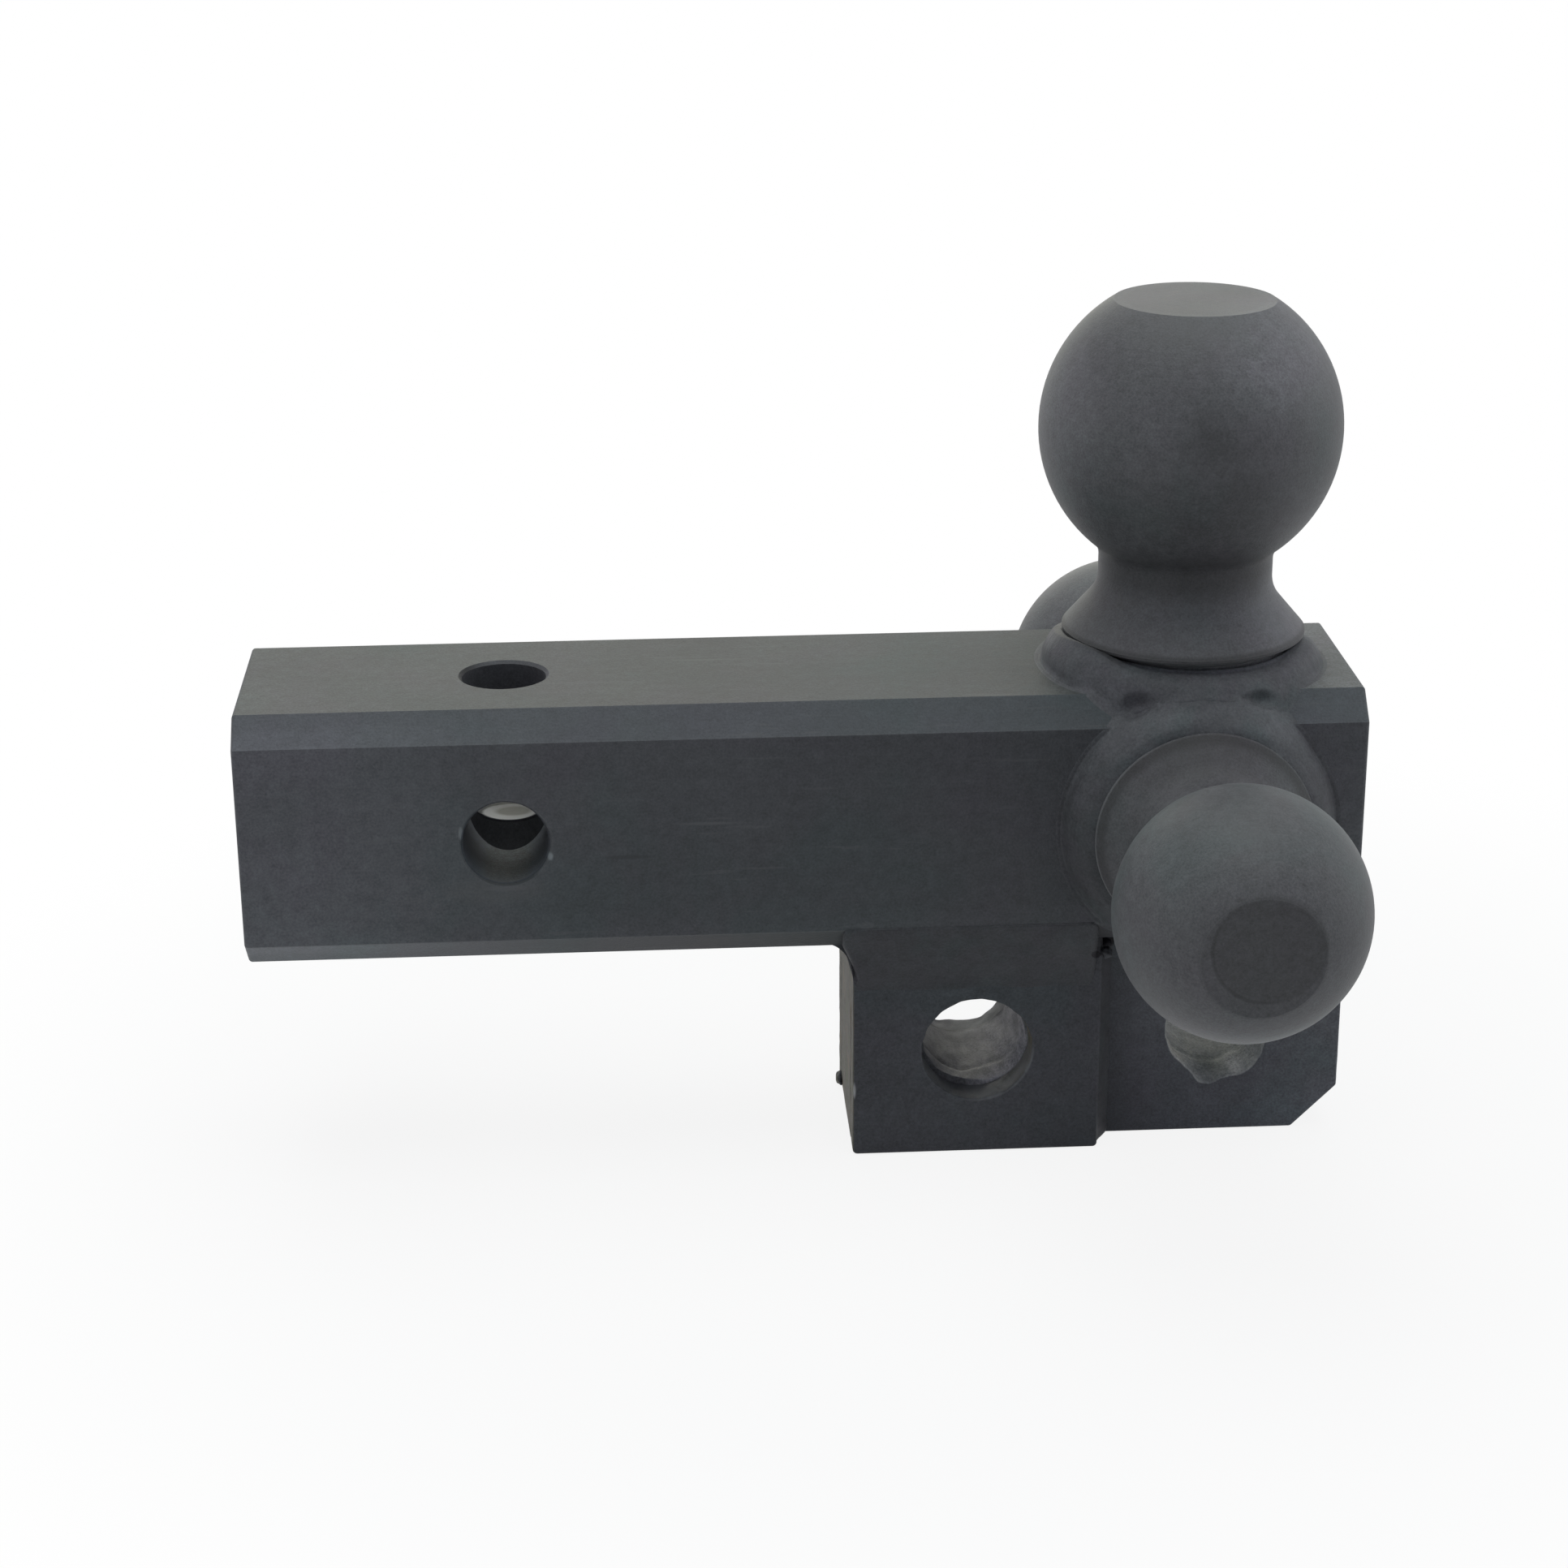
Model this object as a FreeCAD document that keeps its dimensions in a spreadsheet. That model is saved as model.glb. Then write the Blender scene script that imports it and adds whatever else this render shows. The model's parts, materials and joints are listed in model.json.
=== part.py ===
import FreeCAD, Part
import math
import os

import Sketcher
from FreeCAD import Rotation, Vector

# Trailer hitch with ball, in millimetres: a solid square bar that slides into a receiver, three
# hitch balls welded round its rear end (top, left and right), and a drilled lug welded below.
# The origin is the centre of the hitch-pin holes, on the bar's own axis. +X runs along the bar
# towards the balls, +Z is up and -Y is the left side.

# ---------------------------------------------------------------------------------------------
# Driving dimensions: name, size and what it measures
# ---------------------------------------------------------------------------------------------
BAR_SIZES = [
    ("bar_side", 50.8, "across the flats, for a 2 inch receiver"),
    ("bar_length", 216.3, "from the receiver end to the rear end"),
    ("bar_corner_leg", 5.3, "leg of the chamfer along the four long edges"),
    ("bar_end_rounding", 0.8, "rounding of the edges of both ends"),
    ("pin_hole_diameter", 16.5, "clears a 5/8 inch hitch pin"),
    ("pin_hole_setback", 50.8, "pin centre from the receiver end"),
    ("pin_hole_mouth_leg", 0.6, "deburring chamfer at the pin holes"),
]
BALL_SEAT_SIZES = [
    ("ball_to_bar_end", 32.2, "ball axis from the bar's rear end"),
    ("spigot_diameter", 20.0, "stub below each ball, in its bore"),
    ("spigot_length", 12.0, "how deep the stub sits in the bar"),
    ("bore_end_gap", 0.4, "air left below the stub"),
    ("rim_height", 6.6, "lower edge of the collar's rim above the bar's face"),
    ("rim_land", 0.5, "height of the rim's upright edge"),
    ("rim_undercut", 2.8, "how far the weld preparation cuts in below the rim"),
    ("undercut_drop", 1.6, "height of that cut"),
    ("neck_top_radius", 3.5, "hollow between neck and ball"),
    ("neck_flare_radius", 8.0, "hollow between neck and collar"),
    ("bead_height", 4.6, "top of the ring bead above the bar's face"),
    ("bead_crest_width", 1.0, "flat top of the ring bead"),
    ("bead_crown_radius", 11.0, "bulge of the ring bead"),
    ("bead_spread", 2.0, "how far the ring bead widens down the bar's chamfer"),
]
BALL_SIZES = [
    ("top_ball_diameter", 58.3, "for a 2-5/16 inch coupler"),
    ("top_ball_height", 46.9, "centre above the bar's face"),
    ("top_flat_diameter", 30.9, "flat on the ball's crown"),
    ("top_neck_diameter", 33.8, "where the neck is narrowest"),
    ("top_neck_height", 18.0, "lower end of the straight neck above the bar's face"),
    ("top_rim_diameter", 47.4, "collar"),
    ("top_bead_diameter", 52.8, "ring bead where it meets the bar's face"),
    ("left_ball_diameter", 47.0, "for a 1-7/8 inch coupler"),
    ("left_ball_height", 43.8, ""),
    ("left_flat_diameter", 22.6, ""),
    ("left_neck_diameter", 28.4, ""),
    ("left_neck_height", 17.0, ""),
    ("left_rim_diameter", 42.4, ""),
    ("left_bead_diameter", 52.2, ""),
    ("right_ball_diameter", 50.1, "for a 2 inch coupler"),
    ("right_ball_height", 41.0, ""),
    ("right_flat_diameter", 24.6, ""),
    ("right_neck_diameter", 30.2, ""),
    ("right_neck_height", 16.0, ""),
    ("right_rim_diameter", 44.0, ""),
    ("right_bead_diameter", 52.2, ""),
]
LUG_SIZES = [
    ("plate_thickness", 25.4, "the plate under the bar"),
    ("lug_length", 99.2, "along the bar"),
    ("lug_depth", 46.6, "from the bar's lower face to the lug's flat bottom"),
    ("lug_overhang", 0.7, "how far the plate stands behind the bar's end"),
    ("lug_corner_leg", 9.0, "cut corner, low at the rear"),
    ("cheek_thickness", 6.35, "each of the two plates beside the lug's front half"),
    ("cheek_length", 49.4, "along the bar"),
    ("lug_hole_drop", 23.9, "both cross holes below the bar's lower face"),
    ("front_hole_setback", 24.7, "from the lug's front end"),
    ("rear_hole_setback", 25.2, "from the lug's rear end"),
    ("plate_hole_diameter", 20.6, "both holes through the plate"),
    ("cheek_hole_diameter", 22.0, "hole through each cheek"),
    ("end_bead_leg", 4.5, "bead across the lug's front end"),
    ("cheek_bead_drop", 5.6, "how far the cheek's bead runs down from the bar's lower face"),
    ("plate_bead_leg", 5.0, "bead between the plate and the bar"),
    ("rear_bead_reach", 3.2, "bead across the rear joint, above and below it"),
    ("bead_end_gap", 2.0, "from the plate's bead to the bar's rear end"),
    ("bead_to_ring_gap", 0.3, "from the cheek's bead to the ball's ring bead"),
    ("edge_bead_reach", 2.8, "upright bead behind each cheek, along the plate"),
    ("edge_bead_spread", 4.8, "the same bead, across the cheek's rear edge"),
    ("edge_bead_drop", 3.0, "its upper end below the bar's lower face"),
    ("end_bead_crown", 7.0, "bulge of the front bead"),
    ("cheek_bead_crown", 18.0, "bulge of the cheek's bead"),
    ("plate_bead_crown", 8.0, "bulge of the plate's bead"),
    ("rear_bead_crown", 5.0, "bulge of the rear bead"),
]
# Sizes worked out from the driving ones, as cells of the same sheet
WORKED_OUT = [
    ("half_side", "bar_side / 2"),
    ("corner_start", "half_side - bar_corner_leg"),
    ("bar_end", "bar_length - pin_hole_setback"),
    ("ball_station", "bar_end - ball_to_bar_end"),
    ("ball_from_receiver_end", "bar_length - ball_to_bar_end"),
    ("spigot_radius", "spigot_diameter / 2"),
    ("bore_depth", "spigot_length + bore_end_gap"),
    ("rim_top", "rim_height + rim_land"),
    ("undercut_foot", "rim_height - undercut_drop"),
    ("mitre_across", "half_side - bar_corner_leg / 2"),
    ("mitre_down", "-bar_corner_leg / 2"),
    ("bead_skirt", "-bar_corner_leg"),
    ("mitre_reach", "2 * half_side"),
    ("bar_far_face", "-bar_side"),
    ("plate_half", "plate_thickness / 2"),
    ("cheek_outer", "plate_half + cheek_thickness"),
    ("lug_rear", "bar_end + lug_overhang"),
    ("lug_front", "lug_rear - lug_length"),
    ("cheek_rear", "lug_front + cheek_length"),
    ("lug_top", "-half_side"),
    ("lug_bottom", "lug_top - lug_depth"),
    ("lug_corner_height", "lug_bottom + lug_corner_leg"),
    ("lug_corner_station", "lug_rear - lug_corner_leg"),
    ("lug_hole_height", "lug_top - lug_hole_drop"),
    ("front_hole_station", "lug_front + front_hole_setback"),
    ("rear_hole_station", "lug_rear - rear_hole_setback"),
    ("end_bead_front", "lug_front - end_bead_leg"),
    ("end_bead_width", "2 * cheek_outer"),
    ("end_bead_foot", "lug_top - end_bead_leg"),
    ("cheek_bead_foot", "lug_top - cheek_bead_drop"),
    ("plate_bead_foot", "lug_top - plate_bead_leg"),
    ("plate_bead_edge", "plate_half + plate_bead_leg"),
    ("edge_bead_rear", "cheek_rear + edge_bead_reach"),
    ("edge_bead_side", "plate_half + edge_bead_spread"),
    ("edge_bead_length", "lug_depth - edge_bead_drop"),
    ("plate_bead_length", "bar_end - bead_end_gap - edge_bead_rear"),
    ("rear_bead_foot", "lug_top - rear_bead_reach"),
    ("rear_bead_head", "lug_top + rear_bead_reach"),
]
# Sizes worked out for each ball; every name gets the ball's own name in front
BALL_WORKED_OUT = [
    ("ball_radius", "{ball}_ball_diameter / 2"),
    ("flat_radius", "{ball}_flat_diameter / 2"),
    ("neck_radius", "{ball}_neck_diameter / 2"),
    ("rim_radius", "{ball}_rim_diameter / 2"),
    ("base_radius", "{ball}_rim_radius - rim_undercut"),
    ("crest_radius", "{ball}_base_radius + bead_crest_width"),
    ("toe_radius", "{ball}_bead_diameter / 2"),
    ("skirt_radius", "{ball}_toe_radius + bead_spread"),
    ("mitre_radius", "{ball}_toe_radius + bead_spread / 2"),
    ("ring_reach", "sqrt({ball}_mitre_radius ^ 2 - corner_start ^ 2)"),
    ("bead_stop", "ball_station - {ball}_ring_reach - bead_to_ring_gap"),
    ("cheek_bead_length", "{ball}_bead_stop - lug_front"),
]
# The face of the bar that each ball stands on: across which axis, and on which side of it
BALL_PLACES = {
    "top": ("z", 1),
    "left": ("y", -1),
    "right": ("y", 1),
}
SIDES = {"left": -1, "right": 1}
# Edges closer to a plane than this lie on it, and a cut that removes less than this misses
TOUCHING = 0.001

doc = FreeCAD.newDocument("trailer_hitch")
sheet = doc.addObject("Spreadsheet::Sheet", "sizes")
sub_parts = []


# ---------------------------------------------------------------------------------------------
# The sheet
# ---------------------------------------------------------------------------------------------
def fill_sheet():
    """Writes every driving size as a number, and every worked-out size as a formula."""
    driving = BAR_SIZES + BALL_SEAT_SIZES + BALL_SIZES + LUG_SIZES
    rows = [(alias, str(length), note) for alias, length, note in driving]
    rows += [(alias, "=" + formula, "") for alias, formula in WORKED_OUT]
    for ball in BALL_PLACES:
        for alias, formula in BALL_WORKED_OUT:
            rows.append((ball + "_" + alias, "=" + formula.format(ball=ball), ""))
    for row, (alias, content, note) in enumerate(rows, start=1):
        sheet.set("A%d" % row, alias)
        sheet.setAlias("B%d" % row, alias)
        sheet.set("C%d" % row, note)
    for row, (alias, content, note) in enumerate(rows, start=1):
        sheet.set("B%d" % row, content)
    doc.recompute()


def size(name):
    """The value of a cell in millimetres; 0 stays 0, and a leading minus turns the sign."""
    if name == 0:
        return 0.0
    if name.startswith("-"):
        return -float(sheet.get(name[1:]))
    return float(sheet.get(name))


def cell(name):
    """The same cell as an expression that a feature can be bound to."""
    if name.startswith("-"):
        return "-sizes." + name[1:]
    return "sizes." + name


def bind(feature, prop, name):
    feature.setExpression(prop, cell(name))


# ---------------------------------------------------------------------------------------------
# Bodies and sketches
# ---------------------------------------------------------------------------------------------
def new_body(name):
    """A sub-part: its Label is the name of its node and its file."""
    body = doc.addObject("PartDesign::Body", name)
    body.Label = name
    sub_parts.append(body)
    return body


def new_sketch(body, name, role, lift=None):
    """A sketch on one of the body's own planes, lifted off it by a cell's size."""
    sketch = body.newObject("Sketcher::SketchObject", name)
    plane = [item for item in body.Origin.OriginFeatures if item.Role == role][0]
    sketch.AttachmentSupport = [(plane, "")]
    sketch.MapMode = "FlatFace"
    if lift:
        bind(sketch, "AttachmentOffset.Base.z", lift)
    return sketch


def hold(sketch, curve, end, across, up):
    """Holds a point of a curve at the sizes of two cells; 0 holds it on the sketch's axis."""
    for kind, name, axis in (("DistanceX", across, -2), ("DistanceY", up, -1)):
        if name == 0:
            sketch.addConstraint(Sketcher.Constraint("PointOnObject", curve, end, axis))
        elif name is not None:
            held = sketch.addConstraint(Sketcher.Constraint(kind, curve, end, size(name)))
            bind(sketch, "Constraints[%d]" % held, name)


def hold_radius(sketch, curve, name):
    held = sketch.addConstraint(Sketcher.Constraint("Radius", curve, size(name)))
    bind(sketch, "Constraints[%d]" % held, name)


def join(sketch, first, first_end, second, second_end):
    sketch.addConstraint(Sketcher.Constraint("Coincident", first, first_end, second, second_end))


def touch_ends(sketch, first, first_end, second, second_end):
    """Joins two curves' ends so that one runs smoothly on into the other."""
    smooth = Sketcher.Constraint("Tangent", first, first_end, second, second_end)
    sketch.addConstraint(smooth)


def point(across, up):
    return Vector(size(across), size(up), 0)


def add_path(sketch, corners, closed=True):
    """Straight lines through corners that are each held at two cells' sizes."""
    points = [point(across, up) for across, up in corners]
    ends = points[1:] + points[:1] if closed else points[1:]
    lines = []
    for start, end in zip(points, ends):
        lines.append(sketch.addGeometry(Part.LineSegment(start, end), False))
    for before, after in zip(lines, lines[1:]):
        join(sketch, before, 2, after, 1)
    if closed:
        join(sketch, lines[-1], 2, lines[0], 1)
    for line, (across, up) in zip(lines, corners):
        hold(sketch, line, 1, across, up)
    if not closed:
        hold(sketch, lines[-1], 2, *corners[-1])
    return lines


def add_circle(sketch, across, up, diameter):
    centre = point(across, up)
    circle = sketch.addGeometry(Part.Circle(centre, Vector(0, 0, 1), size(diameter) / 2), False)
    hold(sketch, circle, 3, across, up)
    held = sketch.addConstraint(Sketcher.Constraint("Diameter", circle, size(diameter)))
    bind(sketch, "Constraints[%d]" % held, diameter)


def add_arc(sketch, centre, radius, start_angle, end_angle):
    """An arc, anticlockwise from its start to its end; angles in radians."""
    circle = Part.Circle(centre, Vector(0, 0, 1), radius)
    return sketch.addGeometry(Part.ArcOfCircle(circle, start_angle, end_angle), False)


def add_bulge(sketch, start, end, radius):
    """The arc that bulges to the right of the way from start to end, with a given radius."""
    way = end - start
    half = way.Length / 2
    left = Vector(-way.y, way.x, 0).normalize()
    centre = start + way * 0.5 + left * math.sqrt(radius ** 2 - half ** 2)
    start_angle = math.atan2(start.y - centre.y, start.x - centre.x)
    end_angle = math.atan2(end.y - centre.y, end.x - centre.x)
    return add_arc(sketch, centre, radius, start_angle, end_angle)


# ---------------------------------------------------------------------------------------------
# Features
# ---------------------------------------------------------------------------------------------
def add_pad(body, sketch, name, length, symmetric=False, backwards=False):
    pad = body.newObject("PartDesign::Pad", name)
    pad.Profile = sketch
    pad.SideType = "Symmetric" if symmetric else "One side"
    pad.Reversed = backwards
    bind(pad, "Length", length)
    doc.recompute()
    return pad


def add_through_pocket(body, sketch, name):
    """Cuts the sketch right through the body, both ways from its plane."""
    before = body.Shape.Volume
    pocket = body.newObject("PartDesign::Pocket", name)
    pocket.Profile = sketch
    pocket.Type = "ThroughAll"
    pocket.Midplane = True
    doc.recompute()
    check_cut(body, name, before)
    return pocket


def add_blind_pocket(body, sketch, name, depth, backwards):
    before = body.Shape.Volume
    pocket = body.newObject("PartDesign::Pocket", name)
    pocket.Profile = sketch
    pocket.Type = "Length"
    pocket.Reversed = backwards
    bind(pocket, "Length", depth)
    doc.recompute()
    check_cut(body, name, before)
    return pocket


def add_turning(body, sketch, name):
    """Turns the sketch a full round about its own upright axis."""
    turning = body.newObject("PartDesign::Revolution", name)
    turning.Profile = sketch
    turning.ReferenceAxis = (sketch, ["V_Axis"])
    turning.Angle = 360
    doc.recompute()
    return turning


def check_cut(body, name, before):
    if body.Shape.Volume > before - TOUCHING:
        raise RuntimeError("%s: %s cuts nothing" % (body.Label, name))


def edges_where(body, wanted):
    """The names of the body's edges that a test picks."""
    picked = []
    for index, edge in enumerate(body.Shape.Edges, start=1):
        if wanted(edge):
            picked.append("Edge%d" % index)
    return picked


# ---------------------------------------------------------------------------------------------
# The bar
# ---------------------------------------------------------------------------------------------
def make_shank_bar():
    """The solid bar, drilled twice for the pin and three times for the balls' spigots."""
    body = new_body("shank_bar")
    profile = new_sketch(body, "bar_profile", "YZ_Plane")
    corners = [
        ("half_side", "corner_start"), ("corner_start", "half_side"),
        ("-corner_start", "half_side"), ("-half_side", "corner_start"),
        ("-half_side", "-corner_start"), ("-corner_start", "-half_side"),
        ("corner_start", "-half_side"), ("half_side", "-corner_start"),
    ]
    add_path(profile, corners)
    add_pad(body, profile, "bar_stock", "bar_length")
    body.Placement = FreeCAD.Placement(Vector(-size("pin_hole_setback"), 0, 0), Rotation())
    bind(body, "Placement.Base.x", "-pin_hole_setback")
    round_bar_ends(body)
    for direction, role in (("cross", "XZ_Plane"), ("upright", "XY_Plane")):
        circle = new_sketch(body, direction + "_pin_circle", role)
        add_circle(circle, "pin_hole_setback", 0, "pin_hole_diameter")
        add_through_pocket(body, circle, direction + "_pin_hole")
    break_pin_hole_mouths(body)
    for ball, (axis, side) in BALL_PLACES.items():
        drill_spigot_bore(body, ball, axis, side)
    return body


def round_bar_ends(body):
    """Rounds the outline of both ends."""
    box = body.Shape.BoundBox

    def on_an_end(edge):
        at_front = edge.BoundBox.XMax < box.XMin + TOUCHING
        at_rear = edge.BoundBox.XMin > box.XMax - TOUCHING
        return at_front or at_rear

    rounding = body.newObject("PartDesign::Fillet", "end_rounding")
    rounding.Base = (doc.getObject("bar_stock"), edges_where(body, on_an_end))
    bind(rounding, "Radius", "bar_end_rounding")
    doc.recompute()


def break_pin_hole_mouths(body):
    """Takes the burr off the four mouths of the two pin holes."""
    half_side = size("half_side")

    def at_a_mouth(edge):
        is_circle = isinstance(edge.Curve, Part.Circle)
        if not is_circle or abs(edge.Curve.Radius - size("pin_hole_diameter") / 2) > TOUCHING:
            return False
        centre = edge.Curve.Center
        return max(abs(centre.y), abs(centre.z)) > half_side - TOUCHING

    breaking = body.newObject("PartDesign::Chamfer", "pin_hole_mouths")
    breaking.Base = (doc.getObject("upright_pin_hole"), edges_where(body, at_a_mouth))
    bind(breaking, "Size", "pin_hole_mouth_leg")
    doc.recompute()


def drill_spigot_bore(body, ball, axis, side):
    """A blind bore from the face that a ball stands on."""
    role = "XY_Plane" if axis == "z" else "XZ_Plane"
    # The upright plane faces -Y, so a lift off it is measured that way
    faces_out = side if axis == "z" else -side
    lift = "half_side" if faces_out > 0 else "-half_side"
    circle = new_sketch(body, ball + "_bore_circle", role, lift)
    add_circle(circle, "ball_from_receiver_end", 0, "spigot_diameter")
    add_blind_pocket(body, circle, ball + "_bore", "bore_depth", backwards=faces_out < 0)


# ---------------------------------------------------------------------------------------------
# The balls and their ring beads
# ---------------------------------------------------------------------------------------------
def stand_on_bar(body, ball):
    """Places a body, made upright on a face at z = 0, on the ball's own face of the bar."""
    axis, side = BALL_PLACES[ball]
    face = "half_side" if side > 0 else "-half_side"
    base = Vector(size("ball_station"), 0, 0)
    setattr(base, axis, size(face))
    outward = Vector()
    setattr(outward, axis, side)
    body.Placement = FreeCAD.Placement(base, Rotation(Vector(0, 0, 1), outward))
    bind(body, "Placement.Base.x", "ball_station")
    bind(body, "Placement.Base." + axis, face)


def make_ball(ball):
    """One turned piece: ball with its flat, hollow neck, collar with an undercut rim, spigot."""
    body = new_body(ball + "_ball")
    sketch = new_sketch(body, ball + "_ball_section", "XZ_Plane")
    own = ball + "_"
    foot = add_path(sketch, [
        (0, "-spigot_length"), ("spigot_radius", "-spigot_length"), ("spigot_radius", 0),
        (own + "base_radius", 0), (own + "base_radius", "undercut_foot"),
        (own + "rim_radius", "rim_height"), (own + "rim_radius", "rim_top"),
    ], closed=False)

    # Flare: a hollow arc from the narrowest place, then a straight cone to the rim
    neck = point(own + "neck_radius", own + "neck_height")
    rim = point(own + "rim_radius", "rim_top")
    flare_radius = size("neck_flare_radius")
    flare_centre = neck + Vector(flare_radius, 0, 0)
    to_rim = rim - flare_centre
    lean = math.acos(min(1.0, flare_radius / to_rim.Length))
    touch_angle = math.atan2(to_rim.y, to_rim.x) % (2 * math.pi) - lean
    touch = flare_centre + Vector(math.cos(touch_angle), math.sin(touch_angle), 0) * flare_radius
    cone = sketch.addGeometry(Part.LineSegment(rim, touch), False)
    flare = add_arc(sketch, flare_centre, flare_radius, math.pi, touch_angle)

    # Straight neck, then a hollow arc that runs out tangent on the ball
    hollow_radius = size("neck_top_radius")
    ball_radius = size(own + "ball_radius")
    ball_centre = point(0, own + "ball_height")
    apart = ball_radius + hollow_radius
    hollow_across = neck.x + hollow_radius
    hollow_drop = math.sqrt(apart ** 2 - hollow_across ** 2)
    hollow_centre = ball_centre + Vector(hollow_across, -hollow_drop, 0)
    neck_end = Vector(neck.x, hollow_centre.y, 0)
    meet_angle = math.atan2(hollow_drop, -hollow_across)
    straight = sketch.addGeometry(Part.LineSegment(neck, neck_end), False)
    hollow = add_arc(sketch, hollow_centre, hollow_radius, meet_angle, math.pi)

    # The ball itself, up to its flat
    low_angle = math.atan2(-hollow_drop, hollow_across)
    flat_angle = math.acos(size(own + "flat_radius") / ball_radius)
    sphere = add_arc(sketch, ball_centre, ball_radius, low_angle, flat_angle)
    flat_edge = ball_centre + Vector(math.cos(flat_angle), math.sin(flat_angle), 0) * ball_radius
    flat = sketch.addGeometry(Part.LineSegment(flat_edge, Vector(0, flat_edge.y, 0)), False)
    middle = sketch.addGeometry(
        Part.LineSegment(Vector(0, flat_edge.y, 0), point(0, "-spigot_length")), False)

    join(sketch, foot[-1], 2, cone, 1)
    touch_ends(sketch, cone, 2, flare, 2)
    hold(sketch, flare, 1, own + "neck_radius", own + "neck_height")
    hold(sketch, flare, 3, None, own + "neck_height")
    hold_radius(sketch, flare, "neck_flare_radius")
    join(sketch, flare, 1, straight, 1)
    sketch.addConstraint(Sketcher.Constraint("Vertical", straight))
    touch_ends(sketch, straight, 2, hollow, 2)
    hold_radius(sketch, hollow, "neck_top_radius")
    touch_ends(sketch, hollow, 1, sphere, 1)
    hold(sketch, sphere, 3, 0, own + "ball_height")
    hold_radius(sketch, sphere, own + "ball_radius")
    hold(sketch, sphere, 2, own + "flat_radius", None)
    join(sketch, sphere, 2, flat, 1)
    sketch.addConstraint(Sketcher.Constraint("Horizontal", flat))
    join(sketch, flat, 2, middle, 1)
    sketch.addConstraint(Sketcher.Constraint("PointOnObject", flat, 2, -2))
    join(sketch, middle, 2, foot[0], 1)
    add_turning(body, sketch, ball + "_ball_turning")
    stand_on_bar(body, ball)
    return body


def make_ball_weld(ball):
    """The bead round a collar: turned, then cut away where the bar and the next bead are."""
    body = new_body(ball + "_ball_weld")
    sketch = new_sketch(body, ball + "_bead_section", "XZ_Plane")
    own = ball + "_"
    path = add_path(sketch, [
        (own + "toe_radius", 0), (own + "skirt_radius", "bead_skirt"),
        (own + "base_radius", "bead_skirt"), (own + "base_radius", "bead_height"),
        (own + "crest_radius", "bead_height"),
    ], closed=False)
    toe = point(own + "toe_radius", 0)
    crest = point(own + "crest_radius", "bead_height")
    crown = add_bulge(sketch, toe, crest, size("bead_crown_radius"))
    join(sketch, crown, 1, path[0], 1)
    join(sketch, path[-1], 2, crown, 2)
    hold_radius(sketch, crown, "bead_crown_radius")
    add_turning(body, sketch, ball + "_bead_turning")

    # Below: the bar's own outline. Beside it: the mitre planes that it shares with its neighbours
    outline = new_sketch(body, ball + "_bead_bed", "YZ_Plane")
    add_path(outline, [
        ("-mitre_reach", "half_side"), ("-mitre_across", "mitre_down"), ("-corner_start", 0),
        ("corner_start", 0), ("mitre_across", "mitre_down"), ("mitre_reach", "half_side"),
        ("mitre_reach", "bar_far_face"), ("-mitre_reach", "bar_far_face"),
    ])
    add_through_pocket(body, outline, ball + "_bead_fit")
    stand_on_bar(body, ball)
    return body


# ---------------------------------------------------------------------------------------------
# The lug and its beads
# ---------------------------------------------------------------------------------------------
def make_lug_plate():
    body = new_body("lug_plate")
    outline = new_sketch(body, "plate_outline", "XZ_Plane")
    add_path(outline, [
        ("lug_front", "lug_top"), ("lug_front", "lug_bottom"),
        ("lug_corner_station", "lug_bottom"), ("lug_rear", "lug_corner_height"),
        ("lug_rear", "lug_top"),
    ])
    add_pad(body, outline, "plate_stock", "plate_thickness", symmetric=True)
    for hole in ("front_hole", "rear_hole"):
        circle = new_sketch(body, hole + "_circle", "XZ_Plane")
        add_circle(circle, hole + "_station", "lug_hole_height", "plate_hole_diameter")
        add_through_pocket(body, circle, hole)
    return body


def make_cheek_plate(side_name, side):
    """A plate against one side of the lug plate's front half, with a wider hole."""
    body = new_body(side_name + "_cheek_plate")
    # The upright plane faces -Y, so the left cheek is lifted and grows along its normal
    lift = "-plate_half" if side > 0 else "plate_half"
    outline = new_sketch(body, side_name + "_cheek_outline", "XZ_Plane", lift)
    add_path(outline, [
        ("lug_front", "lug_top"), ("lug_front", "lug_bottom"),
        ("cheek_rear", "lug_bottom"), ("cheek_rear", "lug_top"),
    ])
    add_pad(body, outline, side_name + "_cheek_stock", "cheek_thickness", backwards=side > 0)
    circle = new_sketch(body, side_name + "_cheek_circle", "XZ_Plane")
    add_circle(circle, "front_hole_station", "lug_hole_height", "cheek_hole_diameter")
    add_through_pocket(body, circle, side_name + "_cheek_hole")
    return body


def close_with_bulge(sketch, corners, crown_name):
    """A bead's section: straight sides through corners, anticlockwise, then its bulging face."""
    path = add_path(sketch, corners, closed=False)
    crown = add_bulge(sketch, point(*corners[-1]), point(*corners[0]), size(crown_name))
    join(sketch, path[-1], 2, crown, 1)
    join(sketch, crown, 2, path[0], 1)
    hold_radius(sketch, crown, crown_name)


def make_end_weld(name, corners, width, crown_name):
    """A bead across an end of the lug, from a section in the upright plane along the bar."""
    body = new_body(name)
    section = new_sketch(body, name + "_section", "XZ_Plane")
    close_with_bulge(section, corners, crown_name)
    add_pad(body, section, name + "_bead", width, symmetric=True)


def make_side_weld(name, side, corners, crown_name, start, length):
    """A bead along the bar's lower side: a section across the bar, run from start for length."""
    body = new_body(name)
    section = new_sketch(body, name + "_section", "YZ_Plane", start)
    if side < 0:
        corners = [("-" + across, up) for across, up in reversed(corners)]
    close_with_bulge(section, corners, crown_name)
    add_pad(body, section, name + "_bead", length)


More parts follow.
